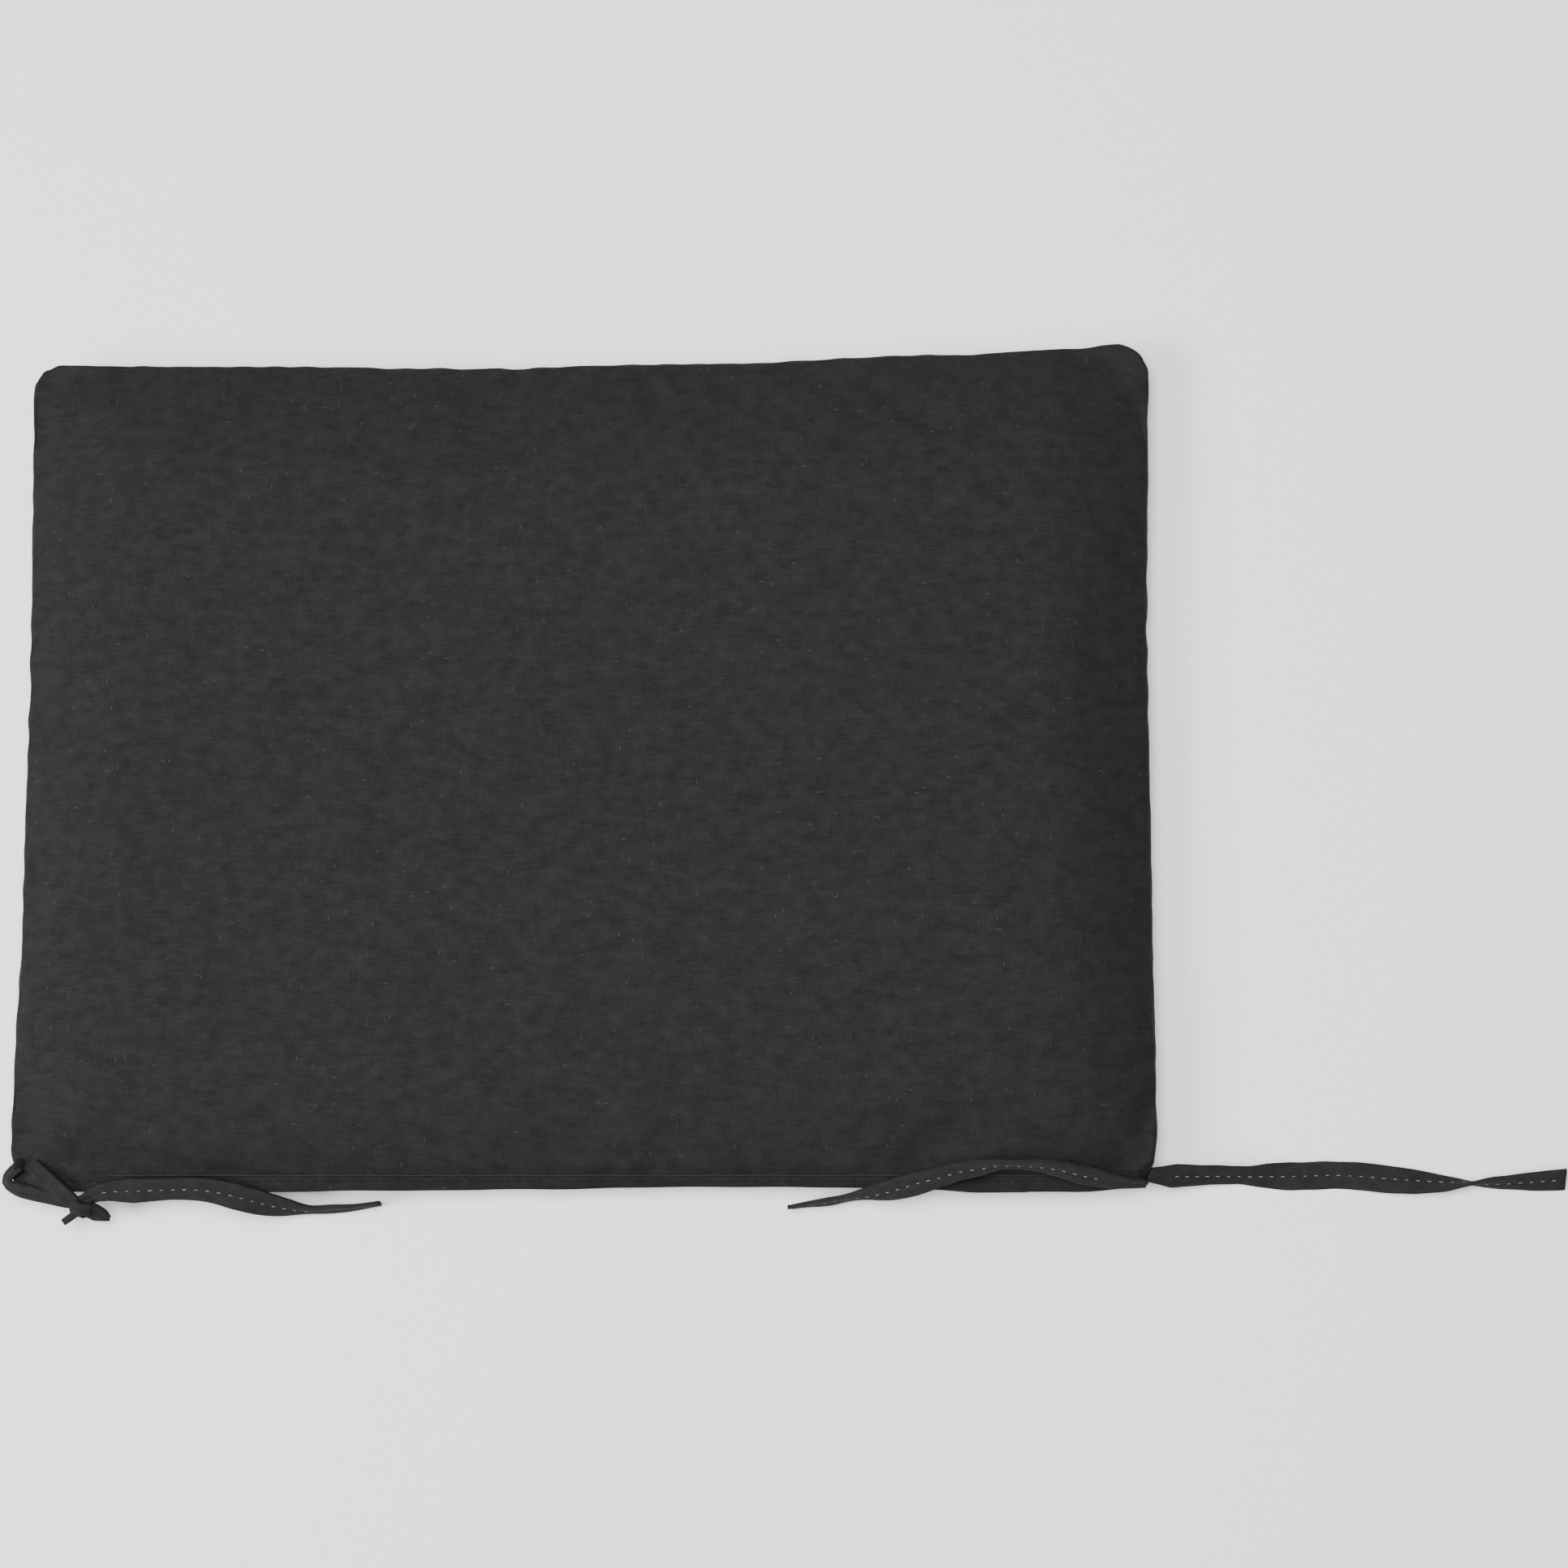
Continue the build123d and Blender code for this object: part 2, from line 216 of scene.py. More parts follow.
    both = math_node(tree, "MAXIMUM", flecks(0.55, 0.13, 2.0), flecks(0.13, 0.5, 7.0))
    colour = mix_colour(tree, both, colour, enter.outputs["Fleck"])

    height = math_node(
        tree, "ADD", math_node(tree, "MULTIPLY", weave, 0.6), math_node(tree, "MULTIPLY", streaks, 0.4)
    )
    rough = map_range(tree, streaks, 0.2, 0.9, 0.96, 0.84)
    feed(tree, leave, {"Color": colour, "Height": height, "Roughness": rough})
    return tree


def worn_metal_group() -> bpy.types.NodeTree:
    """Fine casting grain and rubbed patches for small metal parts.

    Returns:
        A shader group with Color, Roughness and Height outputs.
    """
    existing = bpy.data.node_groups.get("rubbed_coating")
    if existing:
        return existing
    flt, col = "NodeSocketFloat", "NodeSocketColor"
    tree, enter, leave = new_group(
        "rubbed_coating",
        "ShaderNodeTree",
        [
            ("Coating", col, (0.02, 0.02, 0.02, 1)),
            ("Rubbed", col, (0.2, 0.2, 0.2, 1)),
            ("Grain Size", flt, 0.0004),
        ],
        [("Color", col), ("Roughness", flt), ("Height", flt)],
    )
    place = add_node(tree, "ShaderNodeTexCoord").outputs["Object"]
    scale = math_node(tree, "DIVIDE", 1.0, enter.outputs["Grain Size"])
    links = {"Vector": place, "Scale": scale, "Detail": 3.0}
    grain = add_node(tree, "ShaderNodeTexNoise", links).outputs["Fac"]
    links = {"Vector": place, "Scale": math_node(tree, "DIVIDE", scale, 7.0), "Detail": 2.0}
    patch = add_node(tree, "ShaderNodeTexNoise", links).outputs["Fac"]
    rubbed = map_range(tree, patch, 0.55, 0.75, 0.0, 0.6)
    colour = mix_colour(tree, rubbed, enter.outputs["Coating"], enter.outputs["Rubbed"])
    rough = map_range(tree, grain, 0.3, 0.7, 0.32, 0.5)
    feed(tree, leave, {"Color": colour, "Roughness": rough, "Height": grain})
    return tree


# ---- Finishes ----------------------------------------------------------------------------------
def new_material(name: str) -> tuple[bpy.types.Material, bpy.types.NodeTree, bpy.types.Node]:
    """Makes a node material.

    Args:
        name: the material's name.

    Returns:
        The material, its tree and its Principled BSDF.
    """
    material = bpy.data.materials.new(name)
    material.use_nodes = True
    tree = material.node_tree
    return material, tree, tree.nodes["Principled BSDF"]


@dataclass(frozen=True)
class Finish:
    """A named material, made at the first call."""

    name: str

    def paint(self, tree: bpy.types.NodeTree, shader: bpy.types.Node) -> None:
        """Sets up the material's nodes."""
        raise NotImplementedError

    def material(self) -> bpy.types.Material:
        """Returns the finish's material."""
        existing = bpy.data.materials.get(self.name)
        if existing:
            return existing
        material, tree, shader = new_material(self.name)
        self.paint(tree, shader)
        return material


@dataclass(frozen=True)
class WovenFinish(Finish):
    """Woven cloth or tape, in metres and linear colours."""

    dark: Point
    light: Point
    fleck: Point = (0.036, 0.036, 0.036)
    yarn_pitch: float = 0.0006
    slub_length: float = 0.006
    slub_strength: float = 0.8
    fleck_amount: float = 0.0028
    bump: float = 0.00012

    def paint(self, tree: bpy.types.NodeTree, shader: bpy.types.Node) -> None:
        """Sets up the material's nodes."""
        links = {
            "Vector": add_node(tree, "ShaderNodeUVMap", uv_map="cut").outputs[0],
            "Dark Yarn": (*self.dark, 1),
            "Light Yarn": (*self.light, 1),
            "Fleck": (*self.fleck, 1),
            "Yarn Pitch": self.yarn_pitch,
            "Slub Length": self.slub_length,
            "Slub Strength": self.slub_strength,
            "Fleck Amount": self.fleck_amount,
        }
        weave = add_node(tree, "ShaderNodeGroup", links, node_tree=plain_weave_group()).outputs
        links = {"Strength": 0.55, "Distance": self.bump, "Height": weave["Height"]}
        feed(tree, shader, {
            "Base Color": weave["Color"],
            "Roughness": weave["Roughness"],
            "Normal": add_node(tree, "ShaderNodeBump", links).outputs[0],
            "Specular IOR Level": 0.15,
        })


@dataclass(frozen=True)
class ThreadFinish(Finish):
    """Twisted sewing thread."""

    dark: Point
    light: Point
    twist: float = 0.0004

    def paint(self, tree: bpy.types.NodeTree, shader: bpy.types.Node) -> None:
        """Sets up the material's nodes."""
        place = add_node(tree, "ShaderNodeTexCoord").outputs["Object"]
        lean = (0, 0, math.radians(38))
        turned = add_node(tree, "ShaderNodeMapping", {0: place, "Rotation": lean}).outputs[0]
        links = {"Vector": turned, "Scale": 1 / self.twist, "Distortion": 0.4}
        plies = add_node(tree, "ShaderNodeTexWave", links, wave_type="BANDS").outputs["Fac"]
        noise = add_node(tree, "ShaderNodeTexNoise", {"Vector": place, "Scale": 220.0}).outputs["Fac"]
        tone = math_node(tree, "MULTIPLY", plies, map_range(tree, noise, 0.35, 0.65, 0.6, 1.0))
        links = {"Strength": 0.6, "Distance": 0.0001, "Height": plies}
        feed(tree, shader, {
            "Base Color": mix_colour(tree, tone, self.dark, self.light),
            "Roughness": map_range(tree, noise, 0.3, 0.7, 0.65, 0.85),
            "Normal": add_node(tree, "ShaderNodeBump", links).outputs[0],
            "Specular IOR Level": 0.15,
        })


@dataclass(frozen=True)
class CoatedMetalFinish(Finish):
    """Small die-cast parts with a dark coating."""

    coating: Point
    rubbed: Point
    grain: float = 0.0004

    def paint(self, tree: bpy.types.NodeTree, shader: bpy.types.Node) -> None:
        """Sets up the material's nodes."""
        links = {"Coating": (*self.coating, 1), "Rubbed": (*self.rubbed, 1), "Grain Size": self.grain}
        coat = add_node(tree, "ShaderNodeGroup", links, node_tree=worn_metal_group()).outputs
        links = {"Strength": 0.3, "Distance": 0.0001, "Height": coat["Height"]}
        feed(tree, shader, {
            "Base Color": coat["Color"],
            "Roughness": coat["Roughness"],
            "Normal": add_node(tree, "ShaderNodeBump", links).outputs[0],
            "Metallic": 0.85,
        })


@dataclass(frozen=True)
class CellularFinish(Finish):
    """Foam, wadding or moulded nylon: a fine-grained stuff with no weave."""

    low: Point
    high: Point
    cell: float
    bump: float
    roughness: float
    stretch: Point = (1.0, 1.0, 1.0)

    def paint(self, tree: bpy.types.NodeTree, shader: bpy.types.Node) -> None:
        """Sets up the material's nodes."""
        place = add_node(tree, "ShaderNodeTexCoord").outputs["Object"]
        sized = add_node(tree, "ShaderNodeMapping", {0: place, "Scale": self.stretch}).outputs[0]
        links = {"Vector": sized, "Scale": 1 / self.cell}
        cells = add_node(tree, "ShaderNodeTexVoronoi", links).outputs["Distance"]
        links = {"Vector": sized, "Scale": 0.12 / self.cell, "Detail": 4.0}
        cloud = add_node(tree, "ShaderNodeTexNoise", links).outputs["Fac"]
        tone = math_node(tree, "MULTIPLY", map_range(tree, cells, 0.0, 0.7, 0.4, 1.0), cloud)
        links = {"Strength": 0.6, "Distance": self.bump, "Height": cells}
        low, high = self.roughness - 0.06, self.roughness + 0.06
        feed(tree, shader, {
            "Base Color": mix_colour(tree, map_range(tree, tone, 0.1, 0.6, 0.0, 1.0), self.low, self.high),
            "Roughness": map_range(tree, cells, 0.0, 0.8, low, high),
            "Normal": add_node(tree, "ShaderNodeBump", links).outputs[0],
        })


LIP_CLOTH = WovenFinish("lip_cloth", (0.0053, 0.0053, 0.0053), (0.0162, 0.0162, 0.0164))
COVER_CLOTH = WovenFinish("charcoal_melange_cloth", (0.0068, 0.0068, 0.0068), (0.0208, 0.0208, 0.0208))
TIE_CLOTH = WovenFinish(
    "charcoal_tie_tape", (0.0078, 0.0078, 0.0078), (0.023, 0.023, 0.023), slub_length=0.004,
    fleck_amount=0.002,
)
ZIP_CLOTH = WovenFinish(
    "black_zip_tape", (0.012, 0.012, 0.0125), (0.03, 0.03, 0.031), yarn_pitch=0.0005, fleck_amount=0.0
)
PALE_THREAD = ThreadFinish("pale_thread", (0.2, 0.2, 0.2), (0.44, 0.44, 0.435))
# paler thread for the sparse beads spaced along the lip's dark topstitch
SPARSE_PALE_THREAD = ThreadFinish("sparse_pale_thread", (0.035, 0.035, 0.035), (0.075, 0.075, 0.075))
DARK_THREAD = ThreadFinish("charcoal_thread", (0.005, 0.005, 0.005), (0.014, 0.014, 0.014))
SLIDER_METAL = CoatedMetalFinish("black_slider_coating", (0.012, 0.012, 0.0125), (0.14, 0.135, 0.13))
NYLON = CellularFinish(
    "black_nylon", (0.008, 0.008, 0.009), (0.03, 0.03, 0.031), cell=0.0006, bump=0.00003, roughness=0.36
)
FOAM = CellularFinish(
    "cream_foam", (0.5, 0.42, 0.2), (0.78, 0.7, 0.42), cell=0.0011, bump=0.0004, roughness=0.92
)
WADDING = CellularFinish(
    "white_wadding", (0.6, 0.6, 0.58), (0.86, 0.86, 0.84), cell=0.002, bump=0.0006, roughness=0.95,
    stretch=(1, 4, 1),
)


# ---- Mesh helpers ------------------------------------------------------------------------------
def in_scene(name: str, data: bpy.types.ID) -> bpy.types.Object:
    """Makes an object of some data and links it to the scene."""
    item = bpy.data.objects.new(name, data)
    bpy.context.collection.objects.link(item)
    return item


def loft_faces(rows: int, size: int) -> list[tuple[int, int, int, int]]:
    """Faces between closed rows of size points each, numbered one row after another."""
    return [
        (row * size + n, row * size + (n + 1) % size, (row + 1) * size + (n + 1) % size, (row + 1) * size + n)
        for row in range(rows - 1)
        for n in range(size)
    ]


def make_object(name: str, points: list, faces: list, cut: list | None = None) -> bpy.types.Object:
    """Makes a smooth-shaded mesh object at the origin.

    Args:
        name: the object's name.
        points: vertex places in metres.
        faces: vertex numbers of each face.
        cut: flat-cloth coordinates of each vertex in metres, for the weave.

    Returns:
        The object, linked to the scene.
    """
    mesh = bpy.data.meshes.new(name)
    mesh.from_pydata([tuple(p) for p in points], [], faces)
    if cut is not None:
        layer = mesh.uv_layers.new(name="cut")
        where = np.array(cut, float)[np.array([loop.vertex_index for loop in mesh.loops])]
        layer.data.foreach_set("uv", where.ravel())
    mesh.shade_smooth()
    mesh.validate()
    mesh.update()
    return in_scene(name, mesh)


def bake(item: bpy.types.Object) -> bpy.types.Object:
    """Turns an object's modifiers into its plain mesh."""
    graph = bpy.context.evaluated_depsgraph_get()
    graph.update()
    mesh = bpy.data.meshes.new_from_object(
        item.evaluated_get(graph), preserve_all_data_layers=True, depsgraph=graph
    )
    item.modifiers.clear()
    old = item.data
    item.data = mesh
    mesh.name = item.name
    bpy.data.meshes.remove(old)
    return item


def join(first: bpy.types.Object, *others: bpy.types.Object) -> bpy.types.Object:
    """Joins meshes, with their materials, into the first one."""
    every = [first, *others]
    with bpy.context.temp_override(
        active_object=first, object=first, selected_objects=every, selected_editable_objects=every
    ):
        bpy.ops.object.join()
    return first


def subdivide(item: bpy.types.Object) -> None:
    """Gives an object a live Subdivision Surface modifier of one level."""
    modifier = item.modifiers.new("smooth", "SUBSURF")
    modifier.levels = modifier.render_levels = 1
    modifier.uv_smooth = "PRESERVE_BOUNDARIES"


def thicken(item: bpy.types.Object, thickness: float) -> None:
    """Gives an open sheet a live Solidify modifier, inwards."""
    modifier = item.modifiers.new("thickness", "SOLIDIFY")
    modifier.thickness = thickness
    modifier.offset = -1.0


def dress(item: bpy.types.Object, finish: Finish, slot: Slot, *nodes: str) -> bpy.types.Object:
    """Gives a piece its finish and its body, and hides the CAD nodes that it replaces.

    Args:
        item: the piece.
        finish: its finish, unless it has its material already.
        slot: not used.
        nodes: the names of the CAD nodes.

    Returns:
        The piece.
    """
    if not item.data.materials:
        item.data.materials.append(finish.material())
    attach(item, Body.COVER.value)
    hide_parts(*nodes)
    log.info("%s: %d faces, %s", item.name, len(item.data.polygons), finish.name)
    return item


def redress(node: str, finish: Finish) -> None:
    """Gives a CAD node a better material."""
    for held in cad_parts[node].material_slots:
        held.material = finish.material()
    log.info("%s: %s", node, finish.name)


# ---- Stitches and zip teeth, by geometry nodes --------------------------------------------------
def spaced_along(tree: bpy.types.NodeTree, enter: bpy.types.Node) -> tuple:
    """Points a Pitch apart along the line of edges, and the turn there: X along it, Z along face_up."""
    line = add_node(tree, "GeometryNodeMeshToCurve", {0: enter.outputs["Geometry"]}).outputs[0]
    links = {"Curve": line, "Length": enter.outputs["Pitch"]}
    spaced = add_node(tree, "GeometryNodeResampleCurve", links, mode="LENGTH").outputs[0]
    upward = add_node(
        tree, "GeometryNodeInputNamedAttribute", {"Name": "face_up"}, data_type="FLOAT_VECTOR"
    ).outputs[0]
    links = {"Primary Axis": add_node(tree, "GeometryNodeInputTangent").outputs[0], "Secondary Axis": upward}
    turn = add_node(tree, "FunctionNodeAxesToRotation", links, primary_axis="X", secondary_axis="Z")
    return spaced, turn.outputs[0]


def smooth_pieces(
    tree: bpy.types.NodeTree, enter: bpy.types.Node, leave: bpy.types.Node, pieces: bpy.types.NodeSocket
) -> None:
    """Makes instances real and smooth, gives them the group's material and sends them out."""
    real = add_node(tree, "GeometryNodeRealizeInstances", {0: pieces}).outputs[0]
    smooth = add_node(tree, "GeometryNodeSetShadeSmooth", {0: real}).outputs[0]
    links = {"Geometry": smooth, "Material": enter.outputs["Material"]}
    feed(tree, leave, {0: add_node(tree, "GeometryNodeSetMaterial", links).outputs[0]})


def stitch_group() -> bpy.types.NodeTree:
    """Sewn stitches along a line of edges.

    Returns:
        A geometry group with inputs Pitch, Length, Width, Height, Uneven, Seed and Material. The
        line's vertices carry the attribute face_up, the way that the cloth faces there.
    """
    existing = bpy.data.node_groups.get("stitch_row")
    if existing:
        return existing
    flt = "NodeSocketFloat"
    inputs = [
        ("Geometry", "NodeSocketGeometry", None),
        ("Pitch", flt, 0.0048),
        ("Length", flt, 0.003),
        ("Width", flt, 0.0005),
        ("Height", flt, 0.0004),
        ("Uneven", flt, 0.15),
        ("Seed", "NodeSocketInt", 1),
        ("Material", "NodeSocketMaterial", None),
    ]
    outputs = [("Geometry", "NodeSocketGeometry")]
    tree, enter, leave = new_group("stitch_row", "GeometryNodeTree", inputs, outputs)
    spaced, turn = spaced_along(tree, enter)
    links = {"Segments": 8, "Rings": 5, "Radius": 0.5}
    bead = add_node(tree, "GeometryNodeMeshUVSphere", links).outputs["Mesh"]
    links = {0: enter.outputs["Length"], 1: enter.outputs["Width"], 2: enter.outputs["Height"]}
    size = add_node(tree, "ShaderNodeCombineXYZ", links).outputs[0]
    low, high = (math_node(tree, change, 1.0, enter.outputs["Uneven"]) for change in ("SUBTRACT", "ADD"))
    links = {2: low, 3: high, "Seed": enter.outputs["Seed"]}
    vary = add_node(tree, "FunctionNodeRandomValue", links, data_type="FLOAT").outputs[1]
    scaled = add_node(tree, "ShaderNodeVectorMath", {0: size, "Scale": vary}, operation="SCALE").outputs[0]
    links = {"Points": spaced, "Instance": bead, "Rotation": turn, "Scale": scaled}
    smooth_pieces(tree, enter, leave, add_node(tree, "GeometryNodeInstanceOnPoints", links).outputs[0])
    return tree


def coil_group() -> bpy.types.NodeTree:
    """Turns of a zip's nylon coil along a line of edges.

    Returns:
        A geometry group with inputs Pitch, Width, Height, Wire and Material. The line's vertices carry
        face_up, the way that the coil faces, and the turns stand across the line.
    """
    existing = bpy.data.node_groups.get("coil_turns")
    if existing:
        return existing
    flt = "NodeSocketFloat"
    inputs = [
        ("Geometry", "NodeSocketGeometry", None),
        ("Pitch", flt, 0.00125),
        ("Width", flt, 0.0026),
        ("Height", flt, 0.002),
        ("Wire", flt, 0.00085),
        ("Material", "NodeSocketMaterial", None),
    ]
    outputs = [("Geometry", "NodeSocketGeometry")]
    tree, enter, leave = new_group("coil_turns", "GeometryNodeTree", inputs, outputs)
    spaced, turn = spaced_along(tree, enter)
    half = math_node(tree, "MULTIPLY", enter.outputs["Width"], 0.5)
    wire_radius = math_node(tree, "MULTIPLY", enter.outputs["Wire"], 0.5)
    across = math_node(tree, "SUBTRACT", half, wire_radius)
    half_height = math_node(tree, "MULTIPLY", enter.outputs["Height"], 0.5)
    tall = math_node(tree, "SUBTRACT", half_height, wire_radius)
    circle = "GeometryNodeCurvePrimitiveCircle"
    ring = add_node(tree, circle, {"Resolution": 10, "Radius": 1.0}).outputs[0]
    links = {"Geometry": ring, "Rotation": (0, math.radians(90), 0)}
    upright = add_node(tree, "GeometryNodeTransform", links).outputs[0]
    reach = add_node(tree, "ShaderNodeCombineXYZ", {0: 1.0, 1: across, 2: tall}).outputs[0]
    oval = add_node(tree, "GeometryNodeTransform", {"Geometry": upright, "Scale": reach}).outputs[0]
    section = add_node(tree, circle, {"Resolution": 5, "Radius": wire_radius}).outputs[0]
    loop = add_node(tree, "GeometryNodeCurveToMesh", {"Curve": oval, "Profile Curve": section}).outputs[0]
    links = {"Points": spaced, "Instance": loop, "Rotation": turn}
    smooth_pieces(tree, enter, leave, add_node(tree, "GeometryNodeInstanceOnPoints", links).outputs[0])
    return tree


def along_lines(name: str, lines: list, group: bpy.types.NodeTree, **values: object) -> bpy.types.Object:
    """Runs a geometry group along lines and bakes what it makes.

    Args:
        name: the new object's name.
        lines: for each line, a list of (place, face_up) pairs.
        group: the geometry group.
        values: the group's inputs, by name, with underscores for spaces.

    Returns:
        The baked mesh object.
    """
    points, edges, upward = [], [], []
    for line in lines:
        start = len(points)
        points += [tuple(place) for place, _ in line]
        upward += [tuple(facing) for _, facing in line]
        edges += [(start + i, start + i + 1) for i in range(len(line) - 1)]
    mesh = bpy.data.meshes.new(name)
    mesh.from_pydata(points, edges, [])
    attribute = mesh.attributes.new("face_up", "FLOAT_VECTOR", "POINT")
    attribute.data.foreach_set("vector", np.array(upward, float).ravel())
    item = in_scene(name, mesh)
    modifier = item.modifiers.new("run", "NODES")
    modifier.node_group = group
    names = {s.name: s.identifier for s in group.interface.items_tree if s.in_out == "INPUT"}
    for key, value in values.items():
        modifier[names[key.replace("_", " ").title()]] = value
    return bake(item)


@dataclass(frozen=True)
class StitchKind:
    """The spacing and the size of a row's stitches, in metres."""

    pitch: float
    length: float
    width: float
    height: float

    def sew(self, name: str, lines: list, finish: ThreadFinish, seed: int, **more: float) -> bpy.types.Object:
        """Makes rows of these stitches along lines.

        Args:
            name: the new object's name.
            lines: for each line, a list of (place, face_up) pairs.
            finish: the thread.
            seed: picks how uneven each stitch is.
            more: other inputs of the stitch group.

        Returns:
            The baked mesh object.
        """
        return along_lines(
            name, lines, stitch_group(), Pitch=self.pitch, Length=self.length, Width=self.width,
            Height=self.height, Seed=seed, Material=finish.material(), **more,
        )


LIP_STITCH = StitchKind(0.0048, 0.0034, 0.0005, 0.0004)
# sparse paler beads, one every 31 mm
SPARSE_PALE_SPOT = StitchKind(0.031, 0.001, 0.00024, 0.0005)
SEAM_STITCH = StitchKind(0.0032, 0.0026, 0.0005, 0.0004)
END_TACK = StitchKind(0.0005, 0.00058, 0.0016, 0.0006)
TIE_STITCH = StitchKind(0.0046, 0.0017, 0.00028, 0.0003)
# dense wide bartack in dark thread; the patch is sized to also stand in as painted shade for the shadowed hollow
# at each tie corner
BARTACK_AND_PAINTED_SHADE = StitchKind(0.0006, 0.0007, 0.0036, 0.0006)


# ---- The cover and its filling ------------------------------------------------------------------
def keyed(where: np.ndarray | float, keys: tuple) -> np.ndarray | float:
    """Reads a value between (place, value) keys, with eased steps."""
    places, values = np.array([k[0] for k in keys]), np.array([k[1] for k in keys])
    where = np.clip(where, places[0], places[-1])
    number = np.clip(np.searchsorted(places, where, side="right") - 1, 0, len(places) - 2)
    share = (where - places[number]) / (places[number + 1] - places[number])
    eased = share * share * (3 - 2 * share)
    return values[number] + (values[number + 1] - values[number]) * eased


def ripple(where: np.ndarray, wavelength: float, seed: int) -> np.ndarray:
    """Uneven waves from -1 to 1 along a length.

    Args:
        where: places along the length, in metres.
        wavelength: about how far apart the crests are, in metres.
        seed: picks the waves.

    Returns:
        The height of the waves at each place.
    """
    rng = np.random.default_rng(seed)
    total = np.zeros_like(np.asarray(where, float))
    for _ in range(6):
        size = wavelength * rng.uniform(0.7, 1.7)
        total = total + rng.uniform(0.4, 1.0) * np.sin(2 * np.pi * (where / size + rng.uniform()))
    return total / 2.6


def wave(where: float, wavelength: float, seed: int) -> float:
    """The height of the uneven waves at one place."""
    return float(ripple(np.array(where), wavelength, seed))


@dataclass
class PadForm:
    """The shape that the cover and the layers under it share, in metres."""

    half_width: float = 0.233
    rear: float = -0.163
    front: float = 0.170
    thickness: float = 0.0368
    crown: float = 0.0016
    seam: float = 0.020
    corner: float = 0.0125
    rear_corner: float = 0.0075
    corner_reach: float = 0.044
    corner_growth: float = 0.35
    round_depth: float = 0.022
    square_depth: float = 0.026
    rear_roll: float = 0.034
    front_roll: float = 0.050
    foot: float = 0.006
    corner_pinch: float = 0.0018
    pinch_reach: float = 0.014
    crown_middle: float = 0.0035
    crown_half: float = 0.1665
    pitch: float = 0.00514
    insets: tuple[float, ...] = (0, 0.9, 2.2, 4.1, 6.6, 9.7, 13.2, 17.2, 21.7, 26.8, 32.1, 37.4, 42.7, 48.0)
    wall: tuple[float, ...] = (18.0, 15.5, 13.0, 10.5, 8.0)
    left_edge: tuple = ((-163, -0.5), (-125, 1), (-50, 3), (50, 3.5), (170, 2))
    right_edge: tuple = ((-163, 0), (-50, -1.5), (50, -2), (170, 0))
    front_edge: tuple = (
        (-233, 4), (-150, 3.5), (-50, 2.5), (50, 4.5), (150, 8.5), (200, 11), (222, 13), (233, 12.5),
    )
    xs: np.ndarray = field(init=False)
    ys: np.ndarray = field(init=False)

    def __post_init__(self) -> None:
        """Sets out the grid lines."""
        self.xs = self.lines(-self.half_width, self.half_width)
        self.ys = self.lines(self.rear, self.front)

    def lines(self, low: float, high: float) -> np.ndarray:
        """Grid lines from low to high, closer together at both edges."""
        steps = np.array(self.insets) * MM
        count = round((high - low - 2 * steps[-1]) / self.pitch)
        inner = np.linspace(low + steps[-1], high - steps[-1], count + 1)
        return np.concatenate([low + steps[:-1], inner, (high - steps[:-1])[::-1]])

    @property
    def shape(self) -> tuple[int, int]:
        """How many grid lines there are each way."""
        return len(self.xs), len(self.ys)

    def inset(self, i: int, j: int) -> float:
        """How far inside the outline a grid point is."""
        nx, ny = self.shape
        ring = min(i, nx - 1 - i, j, ny - 1 - j)
        return self.insets[min(ring, len(self.insets) - 1)] * MM

    def plan(self, i: int, j: int, shrink: float = 0.0) -> tuple[float, float]:
        """Where a grid point is, seen from above, with the corners rounded.

        Args:
            i: the grid line across.
            j: the grid line along.
            shrink: how far inside the cover's outline this layer's outline is.

        Returns:
            Its x and y.
        """
        nx, ny = self.shape
        ring = min(i, nx - 1 - i, j, ny - 1 - j)
        x, y = self.xs[i], self.ys[j]
        if ring < len(self.insets) - 1:
            depth = self.insets[ring] * MM
            radius = self.corner if 2 * j > ny - 1 else self.rear_corner
            radius += self.corner_growth * min(depth, self.round_depth)
            radius *= 1 - max(0.0, (depth - self.round_depth) / self.square_depth)
            reach = self.corner_reach
            sx, sy = (1 if 2 * i > nx - 1 else -1), (1 if 2 * j > ny - 1 else -1)
            cx, cy = self.xs[nx - 1 - ring if sx > 0 else ring], self.ys[ny - 1 - ring if sy > 0 else ring]
            along_x = min(j, ny - 1 - j) == ring
            away = abs(cx - x) if along_x else abs(cy - y)
            if away < reach and radius > 1e-5:
                gone = away * ((reach - radius) + radius * math.pi / 4) / reach
                if gone <= radius * math.pi / 4:
                    angle = math.pi / 4 - gone / radius
                    across, out = radius - radius * math.sin(angle), radius - radius * math.cos(angle)
                else:
                    across, out = radius + gone - radius * math.pi / 4, 0.0
                dx, dy = (across, out) if along_x else (out, across)
                x, y = cx - sx * dx, cy - sy * dy
        if shrink:
            x *= 1 - shrink / self.half_width
            middle = (self.rear + self.front) / 2
            y = middle + (y - middle) * (1 - 2 * shrink / (self.front - self.rear))
        return self.worn_outline(x, y)

    def worn_outline(self, x: float, y: float) -> tuple[float, float]:
        """Moves a place of the drawn outline to where the sewn cloth has it."""
        share = (x + self.half_width) / (2 * self.half_width)
        left, right = keyed(y * 1000, self.left_edge) * MM, keyed(y * 1000, self.right_edge) * MM
        moved_x = x + left * (1 - share) ** 3 + right * share**3
        depth = (y - self.rear) / (self.front - self.rear)
        moved_y = y + keyed(x * 1000, self.front_edge) * MM * depth**2
        for side in (-1, 1):
            off_x, off_y = x - side * self.half_width, y - self.rear
            near = (off_x * off_x + off_y * off_y) / self.pinch_reach**2
            pinch = self.corner_pinch * math.exp(-near)
            moved_x, moved_y = moved_x - side * pinch, moved_y + pinch
        return moved_x, moved_y

